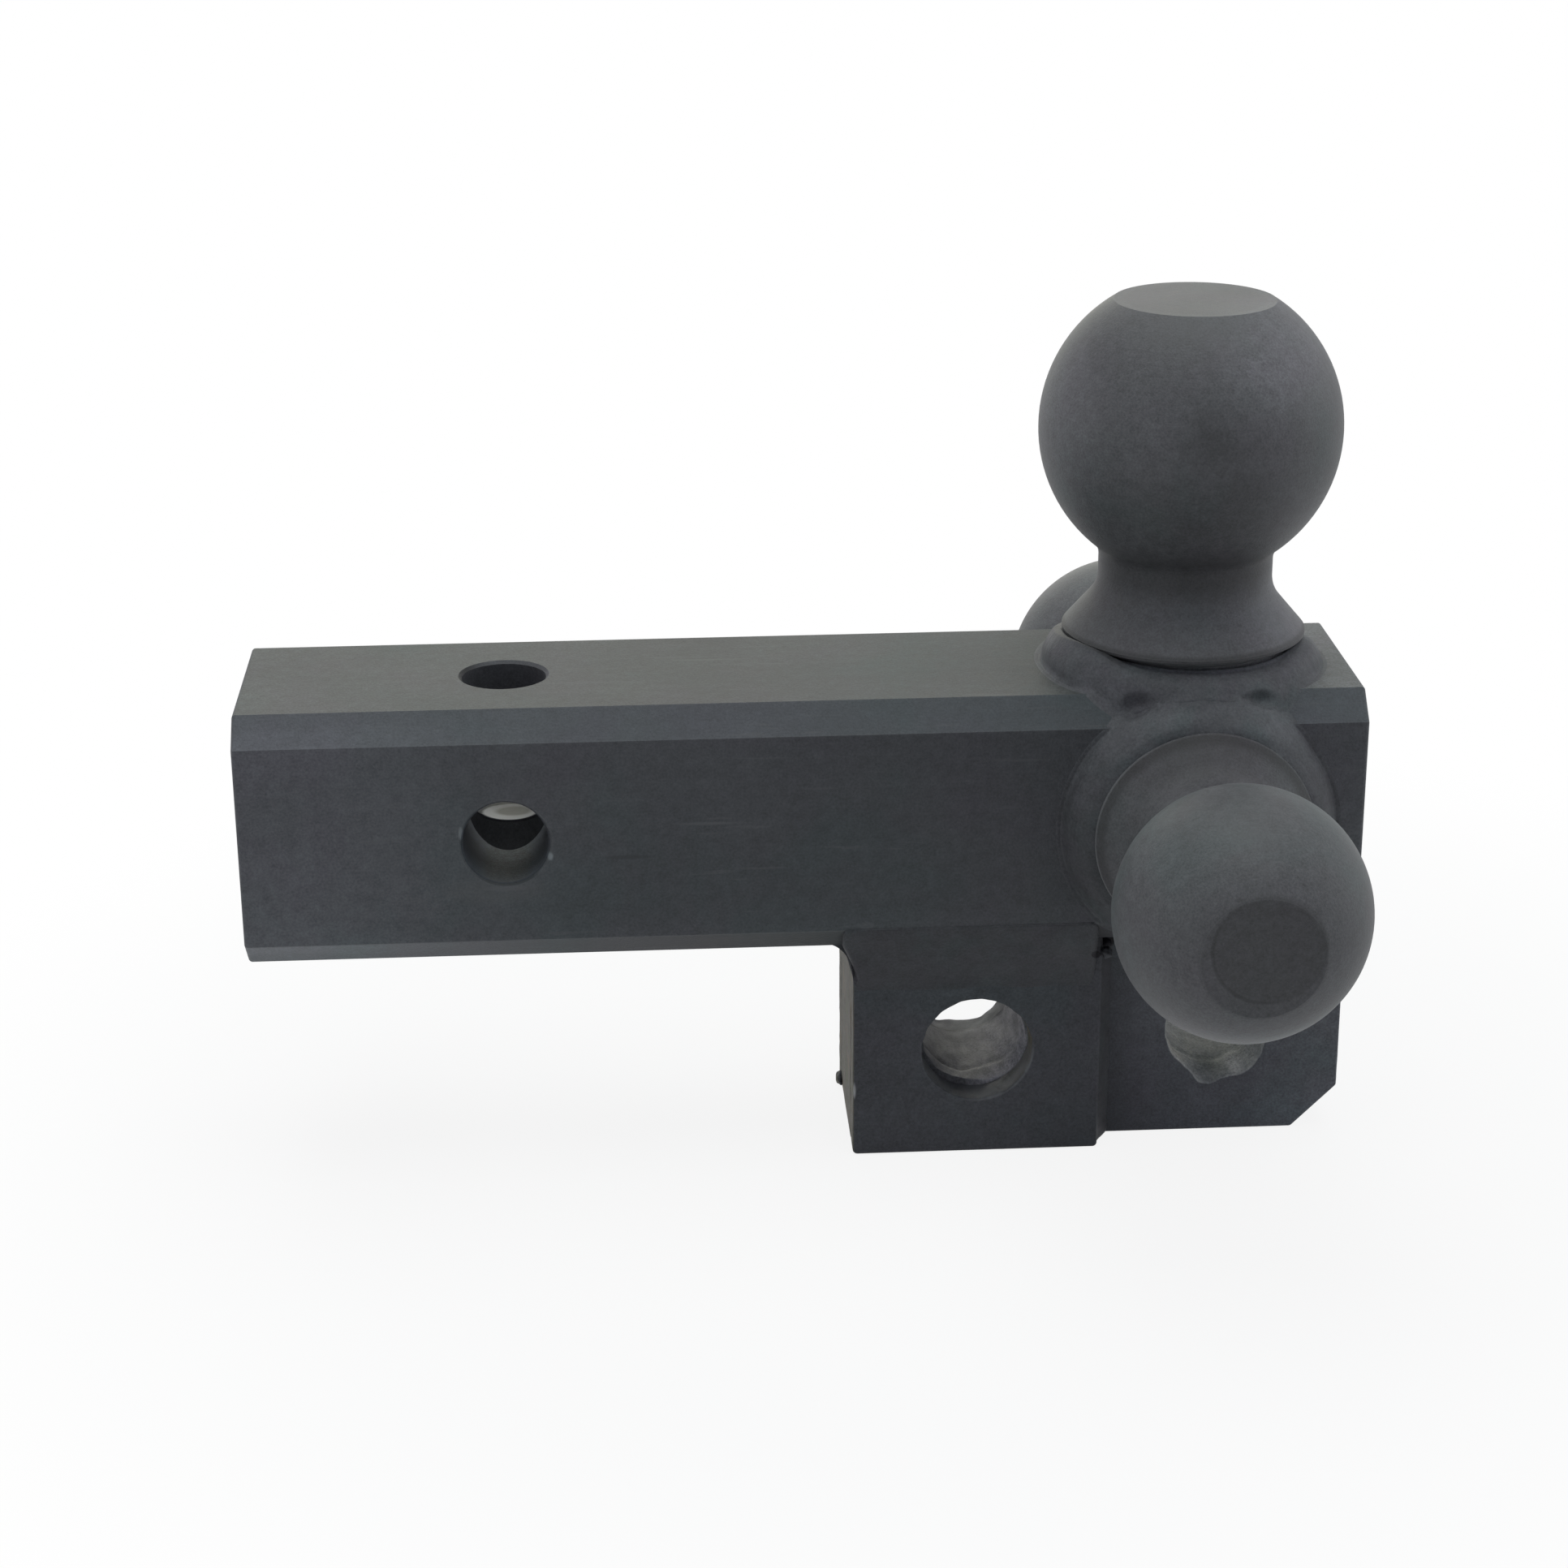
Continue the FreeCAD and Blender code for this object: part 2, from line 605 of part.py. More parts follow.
def make_edge_weld(name, side):
    """The upright bead that fills the corner between a cheek's rear edge and the plate."""
    body = new_body(name)
    section = new_sketch(body, name + "_section", "XY_Plane", "lug_bottom")
    across = "" if side > 0 else "-"
    add_path(section, [
        ("cheek_rear", across + "plate_half"), ("edge_bead_rear", across + "plate_half"),
        ("cheek_rear", across + "edge_bead_side"),
    ])
    add_pad(body, section, name + "_bead", "edge_bead_length")


def make_lug_welds():
    make_end_weld("lug_front_weld", [
        ("lug_front", "end_bead_foot"), ("lug_front", "lug_top"), ("end_bead_front", "lug_top"),
    ], "end_bead_width", "end_bead_crown")
    make_end_weld("lug_rear_weld", [
        ("bar_end", "rear_bead_head"), ("bar_end", "lug_top"),
        ("lug_rear", "lug_top"), ("lug_rear", "rear_bead_foot"),
    ], "plate_thickness", "rear_bead_crown")
    for side_name, side in SIDES.items():
        make_side_weld(side_name + "_cheek_weld", side, [
            ("half_side", "-corner_start"), ("corner_start", "lug_top"),
            ("cheek_outer", "lug_top"), ("cheek_outer", "cheek_bead_foot"),
        ], "cheek_bead_crown", "lug_front", side_name + "_cheek_bead_length")
        make_side_weld(side_name + "_plate_weld", side, [
            ("plate_bead_edge", "lug_top"), ("plate_half", "lug_top"),
            ("plate_half", "plate_bead_foot"),
        ], "plate_bead_crown", "edge_bead_rear", "plate_bead_length")
        make_edge_weld(side_name + "_edge_weld", side)


# ---------------------------------------------------------------------------------------------
# The whole hitch
# ---------------------------------------------------------------------------------------------
def check_model():
    """Stops if any feature failed, or if a sub-part is empty, broken or not one solid."""
    for item in doc.Objects:
        if "Invalid" in item.State or "Error" in item.State:
            raise RuntimeError("%s failed: %s" % (item.Label, item.State))
    for body in sub_parts:
        shape = body.Shape
        if shape.isNull() or not shape.isValid() or len(shape.Solids) != 1:
            raise RuntimeError("%s is not one valid solid" % body.Label)


def write_parts():
    os.makedirs("parts", exist_ok=True)
    for body in sub_parts:
        body.Shape.exportStep(os.path.join("parts", body.Label + ".step"))


fill_sheet()
make_shank_bar()
for ball_name in BALL_PLACES:
    make_ball(ball_name)
    make_ball_weld(ball_name)
make_lug_plate()
for cheek_side, cheek_sign in SIDES.items():
    make_cheek_plate(cheek_side, cheek_sign)
make_lug_welds()
doc.recompute()
check_model()
write_parts()
for body in sub_parts:
    print("%-20s %10.1f mm3" % (body.Label, body.Shape.Volume))
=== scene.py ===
from collections import namedtuple
import json
import math

import bmesh
import bpy
from mathutils import Matrix, Vector, noise


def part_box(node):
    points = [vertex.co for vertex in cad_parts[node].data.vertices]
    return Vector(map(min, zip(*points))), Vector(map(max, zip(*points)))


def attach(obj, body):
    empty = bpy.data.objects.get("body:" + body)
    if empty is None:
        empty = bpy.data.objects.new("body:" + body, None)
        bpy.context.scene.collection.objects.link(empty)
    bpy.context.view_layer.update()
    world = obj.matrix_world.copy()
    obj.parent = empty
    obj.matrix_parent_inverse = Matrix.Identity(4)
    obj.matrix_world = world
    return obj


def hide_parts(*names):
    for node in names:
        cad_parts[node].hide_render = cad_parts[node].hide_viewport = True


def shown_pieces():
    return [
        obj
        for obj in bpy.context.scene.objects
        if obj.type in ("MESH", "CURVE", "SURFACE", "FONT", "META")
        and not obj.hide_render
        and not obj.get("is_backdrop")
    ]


# The looks of a trailer hitch: a square bar, three balls welded round its rear end and a drilled
# lug below. Shapes are worked out in millimetres and turned into metres when a mesh is made.
# +X runs along the bar towards the balls, -Y is the near side, +Z is up.
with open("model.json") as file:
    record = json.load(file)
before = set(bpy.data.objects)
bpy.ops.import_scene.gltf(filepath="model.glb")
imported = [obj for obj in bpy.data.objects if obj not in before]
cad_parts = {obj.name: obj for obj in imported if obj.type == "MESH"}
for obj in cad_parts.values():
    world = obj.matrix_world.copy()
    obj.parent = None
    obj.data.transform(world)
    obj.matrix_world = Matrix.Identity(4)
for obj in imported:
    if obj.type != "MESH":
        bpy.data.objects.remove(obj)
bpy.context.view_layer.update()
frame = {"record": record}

MM = 0.001
BODY = "root"
ALONG, ACROSS, UP = Vector((1, 0, 0)), Vector((0, 1, 0)), Vector((0, 0, 1))
MOUNTS = {mount["name"]: mount for mount in frame["record"]["mounts"]}


def node_box(node):
    """A CAD node's lowest and highest corner, in millimetres."""
    low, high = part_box(node)
    return low / MM, high / MM


def mount_place(name):
    return Vector(MOUNTS[name]["pos_m"]) / MM


# --- Sizes that the looks share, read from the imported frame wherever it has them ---
BAR_HIGH = node_box("shank_bar")[1]
PLATE_LOW, PLATE_HIGH = node_box("lug_plate")
CHEEK_LOW, CHEEK_HIGH = node_box("left_cheek_plate")
HALF_SIDE = 25.4
CHAMFER = 5.3
CORNER_START = HALF_SIDE - CHAMFER
BALL_STATION = mount_place("top_ball_seat").x
PIN_RADIUS = MOUNTS["pin_bore"]["dims"]["r_mm"]
LUG_HOLE_RADIUS = MOUNTS["lug_front_bore"]["dims"]["r_mm"]
FRONT_HOLE = mount_place("lug_front_bore")
REAR_HOLE = mount_place("lug_rear_bore")
CHEEK_HOLE_RADIUS = 11.0
CHEEK_OUTER = -CHEEK_LOW.y
PLATE_HALF = PLATE_HIGH.y
LUG_FRONT, LUG_REAR = PLATE_LOW.x, PLATE_HIGH.x
LUG_TOP, LUG_BOTTOM = PLATE_HIGH.z, PLATE_LOW.z
CHEEK_REAR = CHEEK_HIGH.x
LUG_CORNER_CUT = 9.0

# A ring bead: way out of the bar, the way across it, the radii of its toe and of the collar's
# foot, then the crest's radius and height, by the collar's foot and where it is laid up to the rim
RingBead = namedtuple("RingBead", "out across toe inside crest laid_crest")
RINGS = {
    "top": RingBead(UP, ACROSS, 26.4, 20.9, (21.9, 4.6), (23.62, 6.2)),
    "left": RingBead(-ACROSS, UP, 26.1, 18.4, (21.15, 6.75), (21.15, 6.75)),
    "right": RingBead(ACROSS, UP, 26.1, 19.2, (21.95, 6.75), (21.95, 6.75)),
}
NEIGHBOURS = {"top": ("left", "right"), "left": ("top",), "right": ("top",)}
RING_CROWN = 9.0  # radius of a ring bead's rounded crown
# Where the top bead is laid up to the rim: angle from +X, half width of the place, how nearly
LAID_UP = [(196, 44, 1.0), (342, 20, 0.75)]
# Where a ring bead was laid on thicker: angle from +X, half width of the place, extra thickness
SWELLS = {
    "top": [(176, 34, 1.5), (216, 20, 2.0), (270, 40, 0.5), (335, 40, 0.7), (60, 50, 0.5)],
    "left": [(190, 40, 0.5), (66, 22, 0.3), (120, 20, 0.4), (238, 18, 0.8)],
    "right": [(170, 40, 0.5), (70, 24, 0.4), (300, 24, 0.6)],
}
# Places where two beads didn't quite fuse: centre, radii and depth of a dent
DENTS = [
    (Vector((120.9, -24.5, 23.9)), Vector((4.3, 3.2, 3.2)), 1.5),
    (Vector((142.0, -24.1, 24.6)), Vector((6.6, 2.8, 2.5)), 2.3),
    (Vector((136.8, -24.6, 24.3)), Vector((4.6, 2.0, 1.6)), 0.9),
    (Vector((121.6, 24.1, 25.0)), Vector((4.0, 3.0, 3.0)), 1.5),
    (Vector((145.2, 24.3, 25.4)), Vector((3.6, 2.6, 2.6)), 1.3),
]


# --- Meshes ---
def add_piece(name, work, node=None):
    """Turns a bmesh into a piece that rides on the body and stands for a CAD node."""
    mesh = bpy.data.meshes.new(name)
    work.to_mesh(mesh)
    work.free()
    piece = bpy.data.objects.new(name, mesh)
    bpy.context.scene.collection.objects.link(piece)
    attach(piece, BODY)
    if node:
        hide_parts(node)


def skin(work, loops, closed=False):
    """Smooth faces over loops of equally many points; gives the loops' vertices."""
    made = [[work.verts.new(point * MM) for point in loop] for loop in loops]
    following = made[1:] + made[:1] if closed else made[1:]
    for here, there in zip(made, following):
        for column in range(len(here)):
            beside = (column + 1) % len(here)
            face = work.faces.new((here[column], here[beside], there[beside], there[column]))
            face.smooth = True
    return made


def lumps(point, span, seed):
    """Smooth unevenness from -1 to 1 that repeats about every span millimetres."""
    return noise.noise(point / span + Vector((seed * 7.3, seed * 3.1, seed * 5.7)))


def near_angle(turn, angle, half_width):
    """1 where a turn is at an angle in degrees, and less away from it."""
    off = (math.degrees(turn) - angle + 180) % 360 - 180
    return math.exp(-(off / half_width) ** 2)


def crown_centre(first, second, radius):
    """The centre of the arc from first to second that bulges to the right of that way."""
    first, second = Vector(first), Vector(second)
    way = second - first
    left = Vector((-way.y, way.x)).normalized()
    return (first + second) / 2 + left * math.sqrt(radius ** 2 - (way.length / 2) ** 2)


def arc_points(centre, start, end, steps):
    """Points and outward directions along the shorter arc from start to end round centre."""
    from_angle = math.atan2(start.y - centre.y, start.x - centre.x)
    to_angle = math.atan2(end.y - centre.y, end.x - centre.x)
    turn = (to_angle - from_angle + math.pi) % (2 * math.pi) - math.pi
    radius = (start - centre).length
    found = []
    for step in range(steps + 1):
        angle = from_angle + turn * step / steps
        outward = Vector((math.cos(angle), math.sin(angle)))
        found.append((centre + outward * radius, outward))
    return found


def curve_section(first, first_pull, second_pull, second, steps=18):
    """Places and outward directions along a smooth section, first to second."""
    places = []
    for step in range(steps + 1):
        t = step / steps
        places.append((1 - t) ** 3 * Vector(first) + 3 * (1 - t) ** 2 * t * Vector(first_pull)
                      + 3 * (1 - t) * t ** 2 * Vector(second_pull) + t ** 3 * Vector(second))
    found = []
    for index, place in enumerate(places):
        way = places[min(index + 1, steps)] - places[max(index - 1, 0)]
        found.append((place, Vector((way.y, -way.x)).normalized()))
    return found


# --- Weld beads ---
MELT = 1.7  # how far from each other two beads begin to flow together
TOE_BLEND = 1.5  # how far a bead's toe feathers out over the bar
TOE_MEETS = 0.3  # a toe that comes this near to the bar's skin feathers out over it
LOWEST_TOE = -6.6  # how far below the bar's face a ring bead reaches round its corner
FLATTEST_CROWN = -0.45  # the angle beyond which no ring bead's crown goes on
CROWN_EASE = 1.6  # how far outside the collar a thicker bead gets its full thickness
LUG_EASE = 1.6  # how softly a side bead ends at the plane that it shares with the cheek's bead
RING_STEPS, CROWN_STEPS = 420, 34
RING_RIPPLE, LINE_RIPPLE = 2.6, 2.4  # how far apart the ripples of a bead's laying are
LINE_SPACING = 0.45


def feather(distance, reach):
    """How far a smoothly joined skin stands off at a distance from the line where two meet."""
    return reach / 4 * max(0.0, 1 - abs(distance) / reach) ** 2


def bead_skin(point, ripple, seed):
    """Unevenness of a bead's skin: slow lumps, smaller ones and the faint ripples of its laying."""
    slow = 0.34 * lumps(point, 8.0, seed) + 0.09 * lumps(point, 3.2, seed + 1)
    return slow + 0.02 * math.sin(ripple + 2.5 * lumps(point, 7.0, seed + 2))


def dented(point, normal, seed):
    """Pushes a point that lies in one of the dents in along its normal."""
    for centre, radii, depth in DENTS:
        seen = point - centre
        away = sum((seen[axis] / radii[axis]) ** 2 for axis in range(3))
        away *= 1 + 0.35 * lumps(point, 3.5, seed)
        if away < 1:
            point = point - normal * depth * (1 - away) ** 1.3
    return point


def bar_surface(sideways):
    """Height of the bar's skin against its face, sideways from the face's middle line."""
    return -max(0.0, abs(sideways) - CORNER_START)


def height_over_bar(place, turn):
    """How far a ring bead's place, as radius and height, lies over the bar's skin."""
    return place.y - bar_surface(place.x * math.sin(turn))


def distance_to_ring(point, ring):
    """How far a point lies from the crown of another ring's bead."""
    bead = RINGS[ring]
    centre = crown_centre((bead.toe, 0), bead.crest, RING_CROWN)
    seen = point - Vector((BALL_STATION, 0, 0))
    above = seen.dot(bead.out) - HALF_SIDE
    beside = (seen - bead.out * seen.dot(bead.out)).length
    return math.hypot(beside - centre.x, above - centre.y) - RING_CROWN


def keep_above_lug(point, ring):
    """Holds a side bead's low end to the plane halfway round the bar's lower edge."""
    if ring == "top":
        return point
    inward = Vector((0, math.copysign(1, -point.y), 1)).normalized()
    edge = Vector((0, math.copysign(HALF_SIDE, point.y), -HALF_SIDE))
    past = (point - edge).dot(inward) * -1
    if past < -LUG_EASE:
        return point
    eased = min(past, 0) - max(0.0, 1 - abs(past) / LUG_EASE) ** 2 * LUG_EASE / 4
    return point + inward * (past - eased)


def ring_crown(ring, turn, radial, seed):
    """A ring bead's crown at one turn: its crest, the crest's angle, and a function that gives
    the radius, height and outward way at an angle. What is thicker starts outside the collar."""
    bead = RINGS[ring]
    collar_edge = bead.laid_crest[0] + 0.1
    laid_up = max(share * near_angle(turn, angle, half_width)
                  for angle, half_width, share in LAID_UP)
    crest = Vector(bead.crest).lerp(Vector(bead.laid_crest), laid_up)
    centre = crown_centre((bead.toe, 0), crest, RING_CROWN)
    thicker = 0.5 * lumps(radial * bead.toe, 12.0, seed + 4)
    for angle, half_width, extra in SWELLS[ring]:
        thicker += extra * near_angle(turn, angle, half_width)

    def crown_place(angle):
        outward = Vector((math.cos(angle), math.sin(angle)))
        place = centre + outward * RING_CROWN
        room = (place.x + thicker * outward.x - collar_edge) / CROWN_EASE
        room = min(1.0, max(0.0, room))
        return place + outward * thicker * room, outward

    return crest, math.atan2(crest.y - centre.y, crest.x - centre.x), crown_place


def toe_angle(turn, start, crown_place):
    """The angle at which a crown comes down to the bar's skin, or to its lowest."""
    low, beyond = start, FLATTEST_CROWN
    for _ in range(24):
        half = (low + beyond) / 2
        place = crown_place(half)[0]
        if height_over_bar(place, turn) <= 0 or place.y < LOWEST_TOE:
            beyond = half
        else:
            low = half
    return low


def make_ring_bead(ring, seed):
    """The bead round a ball's collar, from the collar over its crown down to the bar's skin."""
    bead = RINGS[ring]
    out = bead.out
    base = Vector((BALL_STATION, 0, 0)) + out * HALF_SIDE
    loops = []
    for step in range(RING_STEPS):
        turn = 2 * math.pi * step / RING_STEPS
        radial = ALONG * math.cos(turn) + bead.across * math.sin(turn)
        crest, start, crown_place = ring_crown(ring, turn, radial, seed)
        toe = toe_angle(turn, start, crown_place)
        foot = crown_place(toe)[0]
        met_bar = height_over_bar(foot, turn) <= TOE_MEETS
        # Under the toe: a thin skirt feathered out over the bar
        flat_places = []
        for part in (1.0, 0.66, 0.33):
            reach = foot.x + TOE_BLEND * 1.2 * part
            height = bar_surface(reach * math.sin(turn)) + feather(TOE_BLEND * part, TOE_BLEND)
            if not met_bar:
                reach, height = foot.x + 0.2 * part, foot.y - 0.5 * part
            flat_places.append((reach, height - 0.06 * part))
        loop = [base + radial * reach + out * height for reach, height in flat_places]
        # The crown, from its toe up to its crest
        for index in range(CROWN_STEPS + 1):
            place, outward = crown_place(toe + (start - toe) * index / CROWN_STEPS)
            point = base + radial * place.x + out * place.y
            normal = radial * outward.x + out * outward.y
            ripple = turn * bead.toe * 2 * math.pi / RING_RIPPLE + index * 0.12
            rise = bead_skin(point, ripple, seed)
            rise = rise * min(1.0, 0.2 + 4 * (1 - index / CROWN_STEPS))
            if met_bar:
                rise = rise * min(1.0, index / 3) + feather(height_over_bar(place, turn), TOE_BLEND)
            for neighbour in NEIGHBOURS[ring]:
                rise += feather(distance_to_ring(point, neighbour), MELT)
            loop.append(dented(point + normal * rise, normal, seed))
        # Behind the crest: a shelf to the collar, then the hidden root inside the bar
        deep = min(-1.5, bar_surface(foot.x * math.sin(turn)) - 1.5, foot.y - 1.0)
        for beside, above in ((crest.x - 0.22, crest.y + 0.05), (bead.inside + 0.1, 4.3),
                              (bead.inside - 0.7, 3.7), (bead.inside - 0.7, -1.6),
                              (bead.toe - 7.0, -4.0), (foot.x, deep)):
            loop.append(base + radial * beside + out * above)
        loops.append([keep_above_lug(point, ring) for point in loop])
    work = bmesh.new()
    skin(work, loops, closed=True)
    bmesh.ops.recalc_face_normals(work, faces=work.faces)
    add_piece(ring + "_ring_bead", work, ring + "_ball_weld")


def make_straight_bead(node, start, end, side, up, section, root, ends, seed, span=None):
    """A bead along a line. Its section and root are places in the line's own plane, as (side, up).
    Its ends are rounded off over the two lengths in ends. Where span is given, it says from where
    to where along the line the bead reaches at a height."""
    heel = sum((Vector(corner) for corner in root), Vector((0, 0))) / len(root)
    way = (end - start).normalized()
    length = (end - start).length
    rows = max(8, round(length / LINE_SPACING))
    loops = []
    for row in range(rows + 1):
        gone = length * row / rows
        size = 1.0
        for distance, ease in ((gone, ends[0]), (length - gone, ends[1])):
            if ease and distance < ease:
                size = min(size, math.sqrt(max(0.0, 1 - (1 - distance / ease) ** 2)))
        size = max(size, 0.05)
        loop = []
        for index, (place, outward) in enumerate(section):
            crown = math.sin(math.pi * index / (len(section) - 1))
            shrunk = heel.lerp(place, size)
            point = start + way * gone + side * shrunk.x + up * shrunk.y
            normal = side * outward.x + up * outward.y
            ripple = gone * 2 * math.pi / LINE_RIPPLE + 1.6 * crown
            rise = bead_skin(point, ripple, seed) * (0.25 + 0.75 * crown) * size
            loop.append(dented(point + normal * rise, normal, seed))
        for corner in root:
            place = heel.lerp(Vector(corner), size)
            loop.append(start + way * gone + side * place.x + up * place.y)
        if span:
            for index, point in enumerate(loop):
                low, high = span(point.z)
                place = low + (high - low) * row / rows
                loop[index] = point + way * (place - point.dot(way))
        loops.append(loop)
    work = bmesh.new()
    made = skin(work, loops)
    work.faces.new(made[0])
    work.faces.new(made[-1])
    bmesh.ops.recalc_face_normals(work, faces=work.faces)
    add_piece(node.replace("weld", "bead"), work, node)


BURY = 0.6  # how deep a straight bead's root lies in the steel that it joins
CHEEK_BEAD = curve_section((CHEEK_OUTER - 0.08, -36.4), (CHEEK_OUTER + 0.5, -32.5),
                           (HALF_SIDE - 0.9, -24.6), (HALF_SIDE + 0.05, -CORNER_START + 0.25))
CHEEK_BEAD_ROOT = [(HALF_SIDE - 1.2, -CORNER_START), (CORNER_START - 0.4, LUG_TOP + BURY),
                   (CHEEK_OUTER - 1.0, LUG_TOP - 1.0), (CHEEK_OUTER - 1.0, LUG_TOP - 9.0)]


def cheek_bead_start(height):
    """The cheek bead's front end: past the lug's by the bar, flush with it lower down."""
    share = min(1.0, max(0.0, (height + 33.5) / 9.5))
    return LUG_FRONT - 3.0 * share ** 1.6


def front_bead_reach(height):
    """How far from the middle the front bead ends at a height: by the cheek bead's skin, and at
    the top by the bar's lower edge."""
    for (low, _), (high, _) in zip(CHEEK_BEAD, CHEEK_BEAD[1:]):
        if low.y <= height <= high.y:
            reach = low.lerp(high, (height - low.y) / (high.y - low.y)).x - 0.04
            return min(reach, CORNER_START + 0.25 * (LUG_TOP - height))
    return CHEEK_OUTER - 0.1 if height < LUG_TOP else CORNER_START - 0.3


def make_lug_beads():
    for side_name, out, seed in (("left", -ACROSS, 21), ("right", ACROSS, 25)):
        stop = node_box(side_name + "_cheek_weld")[1].x + 0.4
        make_straight_bead(
            side_name + "_cheek_weld", Vector((LUG_FRONT, 0, 0)), Vector((stop, 0, 0)), out, UP,
            CHEEK_BEAD, CHEEK_BEAD_ROOT, (1.0, 1.6), seed,
            lambda height: (cheek_bead_start(height), stop))
        low, high = node_box(side_name + "_plate_weld")
        make_straight_bead(
            side_name + "_plate_weld", Vector((low.x, 0, 0)), Vector((high.x, 0, 0)), out, UP,
            curve_section((PLATE_HALF - 0.1, LUG_TOP - 5.6), (PLATE_HALF + 1.2, LUG_TOP - 3.4),
                          (PLATE_HALF + 3.4, LUG_TOP - 1.2), (PLATE_HALF + 5.6, LUG_TOP + 0.1)),
            [(PLATE_HALF + 4.0, LUG_TOP + BURY), (PLATE_HALF - BURY, LUG_TOP + BURY),
             (PLATE_HALF - BURY, LUG_TOP - 4.0)],
            (1.2, 2.5), seed + 1)
        low, high = node_box(side_name + "_edge_weld")
        make_straight_bead(
            side_name + "_edge_weld",
            Vector((CHEEK_REAR, 0, low.z)), Vector((CHEEK_REAR, 0, high.z)), out, ALONG,
            curve_section((PLATE_HALF + 5.0, -0.1), (PLATE_HALF + 3.2, 1.0),
                          (PLATE_HALF + 1.4, 1.9), (PLATE_HALF - 0.1, 2.9)),
            [(PLATE_HALF - BURY, 1.8), (PLATE_HALF - BURY, -BURY), (PLATE_HALF + 3.8, -BURY)],
            (0.3, 1.6), seed + 2)
    make_straight_bead(
        "lug_front_weld",
        Vector((LUG_FRONT, -CHEEK_OUTER, LUG_TOP)), Vector((LUG_FRONT, CHEEK_OUTER, LUG_TOP)),
        -ALONG, UP, curve_section((-0.08, -9.2), (0.25, -3.0), (1.6, -0.9), (4.5, 0.08)),
        [(3.6, BURY), (-BURY, BURY), (-BURY, -8.0)], (0, 0), 31,
        lambda height: (-front_bead_reach(height), front_bead_reach(height)))
    low, high = node_box("lug_rear_weld")
    make_straight_bead(
        "lug_rear_weld",
        Vector((BAR_HIGH.x, low.y, LUG_TOP)), Vector((BAR_HIGH.x, high.y, LUG_TOP)), ALONG, UP,
        curve_section((0.6, -3.4), (1.5, -1.6), (1.3, 1.6), (-0.1, 3.3)),
        [(-BURY, 2.6), (-BURY, 0), (0.1, -BURY), (0.1, -2.6)], (1.5, 1.5), 33)


# --- Plates of the lug ---
ARRIS = 0.55  # rounding of the plates' edges
ARRIS_STEPS = 4
CORNER_ROUNDING = 0.9
OUTLINE_SPACING, WALL_SPACING = 1.3, 1.0
HOLE_STEPS = 144
WEAR_REACH = 7.0  # how far into a hole its worn mouth reaches


def rounded_outline(corners):
    """Points and outward ways round a polygon of X and Z, anticlockwise, with rounded corners."""
    corners = [Vector(corner) for corner in corners]
    arcs = []
    for index, corner in enumerate(corners):
        before = (corners[index - 1] - corner).normalized()
        after = (corners[(index + 1) % len(corners)] - corner).normalized()
        half = before.angle(after) / 2
        setback = CORNER_ROUNDING / math.tan(half)
        centre = corner + (before + after).normalized() * CORNER_ROUNDING / math.sin(half)
        arcs.append((centre, corner + before * setback, corner + after * setback))
    found = []
    for index, (centre, start, end) in enumerate(arcs):
        found += arc_points(centre, start, end, 6)
        following = arcs[(index + 1) % len(arcs)][1]
        parts = max(2, round((following - end).length / OUTLINE_SPACING))
        for step in range(1, parts):
            found.append((end.lerp(following, step / parts), found[-1][1]))
    return found


def wall_rows(near, far):
    """Places through a plate's thickness, each with how far its edge is drawn back there."""
    rows = []
    for step in range(ARRIS_STEPS + 1):
        angle = math.pi / 2 * step / ARRIS_STEPS
        rows.append((near + ARRIS * (1 - math.cos(angle)), ARRIS * (1 - math.sin(angle))))
    rounded = rows[::-1]
    flat = far - near - 2 * ARRIS
    between = max(2, round(flat / WALL_SPACING))
    for step in range(1, between):
        rows.append((near + ARRIS + flat * step / between, 0.0))
    return rows + [(near + far - place, back) for place, back in rounded]


def edge_roughness(place, y, seed):
    """Unevenness that a cut left on a plate's edge: lumps, and grooves across it."""
    grooves = noise.noise(Vector((place.x * 1.1, y * 0.10, place.y * 1.1)) + Vector((seed, 0, 0)))
    return 0.10 * lumps(Vector((place.x, y, place.y)), 7.0, seed) + 0.07 * grooves


def make_plate(name, node, corners, holes, near, far, seed):
    """A cut plate: flat faces, rounded arrises, and walls with the cut's own roughness. A hole is
    its centre, its radius, how much of the arris its mouths have, and a function that gives its
    wall's unevenness."""
    outline = rounded_outline(corners)
    rows = wall_rows(near, far)
    wall = []
    for y, back in rows:
        inner = 0.0 if back else 1.0
        loop = []
        for place, outward in outline:
            moved = place + outward * (edge_roughness(place, y, seed) * inner - back)
            loop.append(Vector((moved.x, y, moved.y)))
        wall.append(loop)
    walls = [wall]
    for centre, radius, mouth, unevenness in holes:
        wall = []
        for y, back in rows:
            loop = []
            for step in range(HOLE_STEPS):
                turn = 2 * math.pi * step / HOLE_STEPS
                away = radius + back * mouth + unevenness(turn, y - near, far - y)
                loop.append(Vector((centre.x + away * math.cos(turn), y,
                                    centre.z + away * math.sin(turn))))
            wall.append(loop)
        walls.append(wall)

    work = bmesh.new()
    for wall in walls:
        skin(work, wall)
    for y in (rows[0][0], rows[-1][0]):
        rim = [edge for edge in work.edges if len(edge.link_faces) == 1
               and all(abs(vertex.co.y / MM - y) < 1e-4 for vertex in edge.verts)]
        bmesh.ops.triangle_fill(work, edges=rim, use_beauty=True)
    bmesh.ops.recalc_face_normals(work, faces=work.faces)
    for face in work.faces:
        if len(face.verts) == 3:
            face.smooth = False
    add_piece(name, work, node)


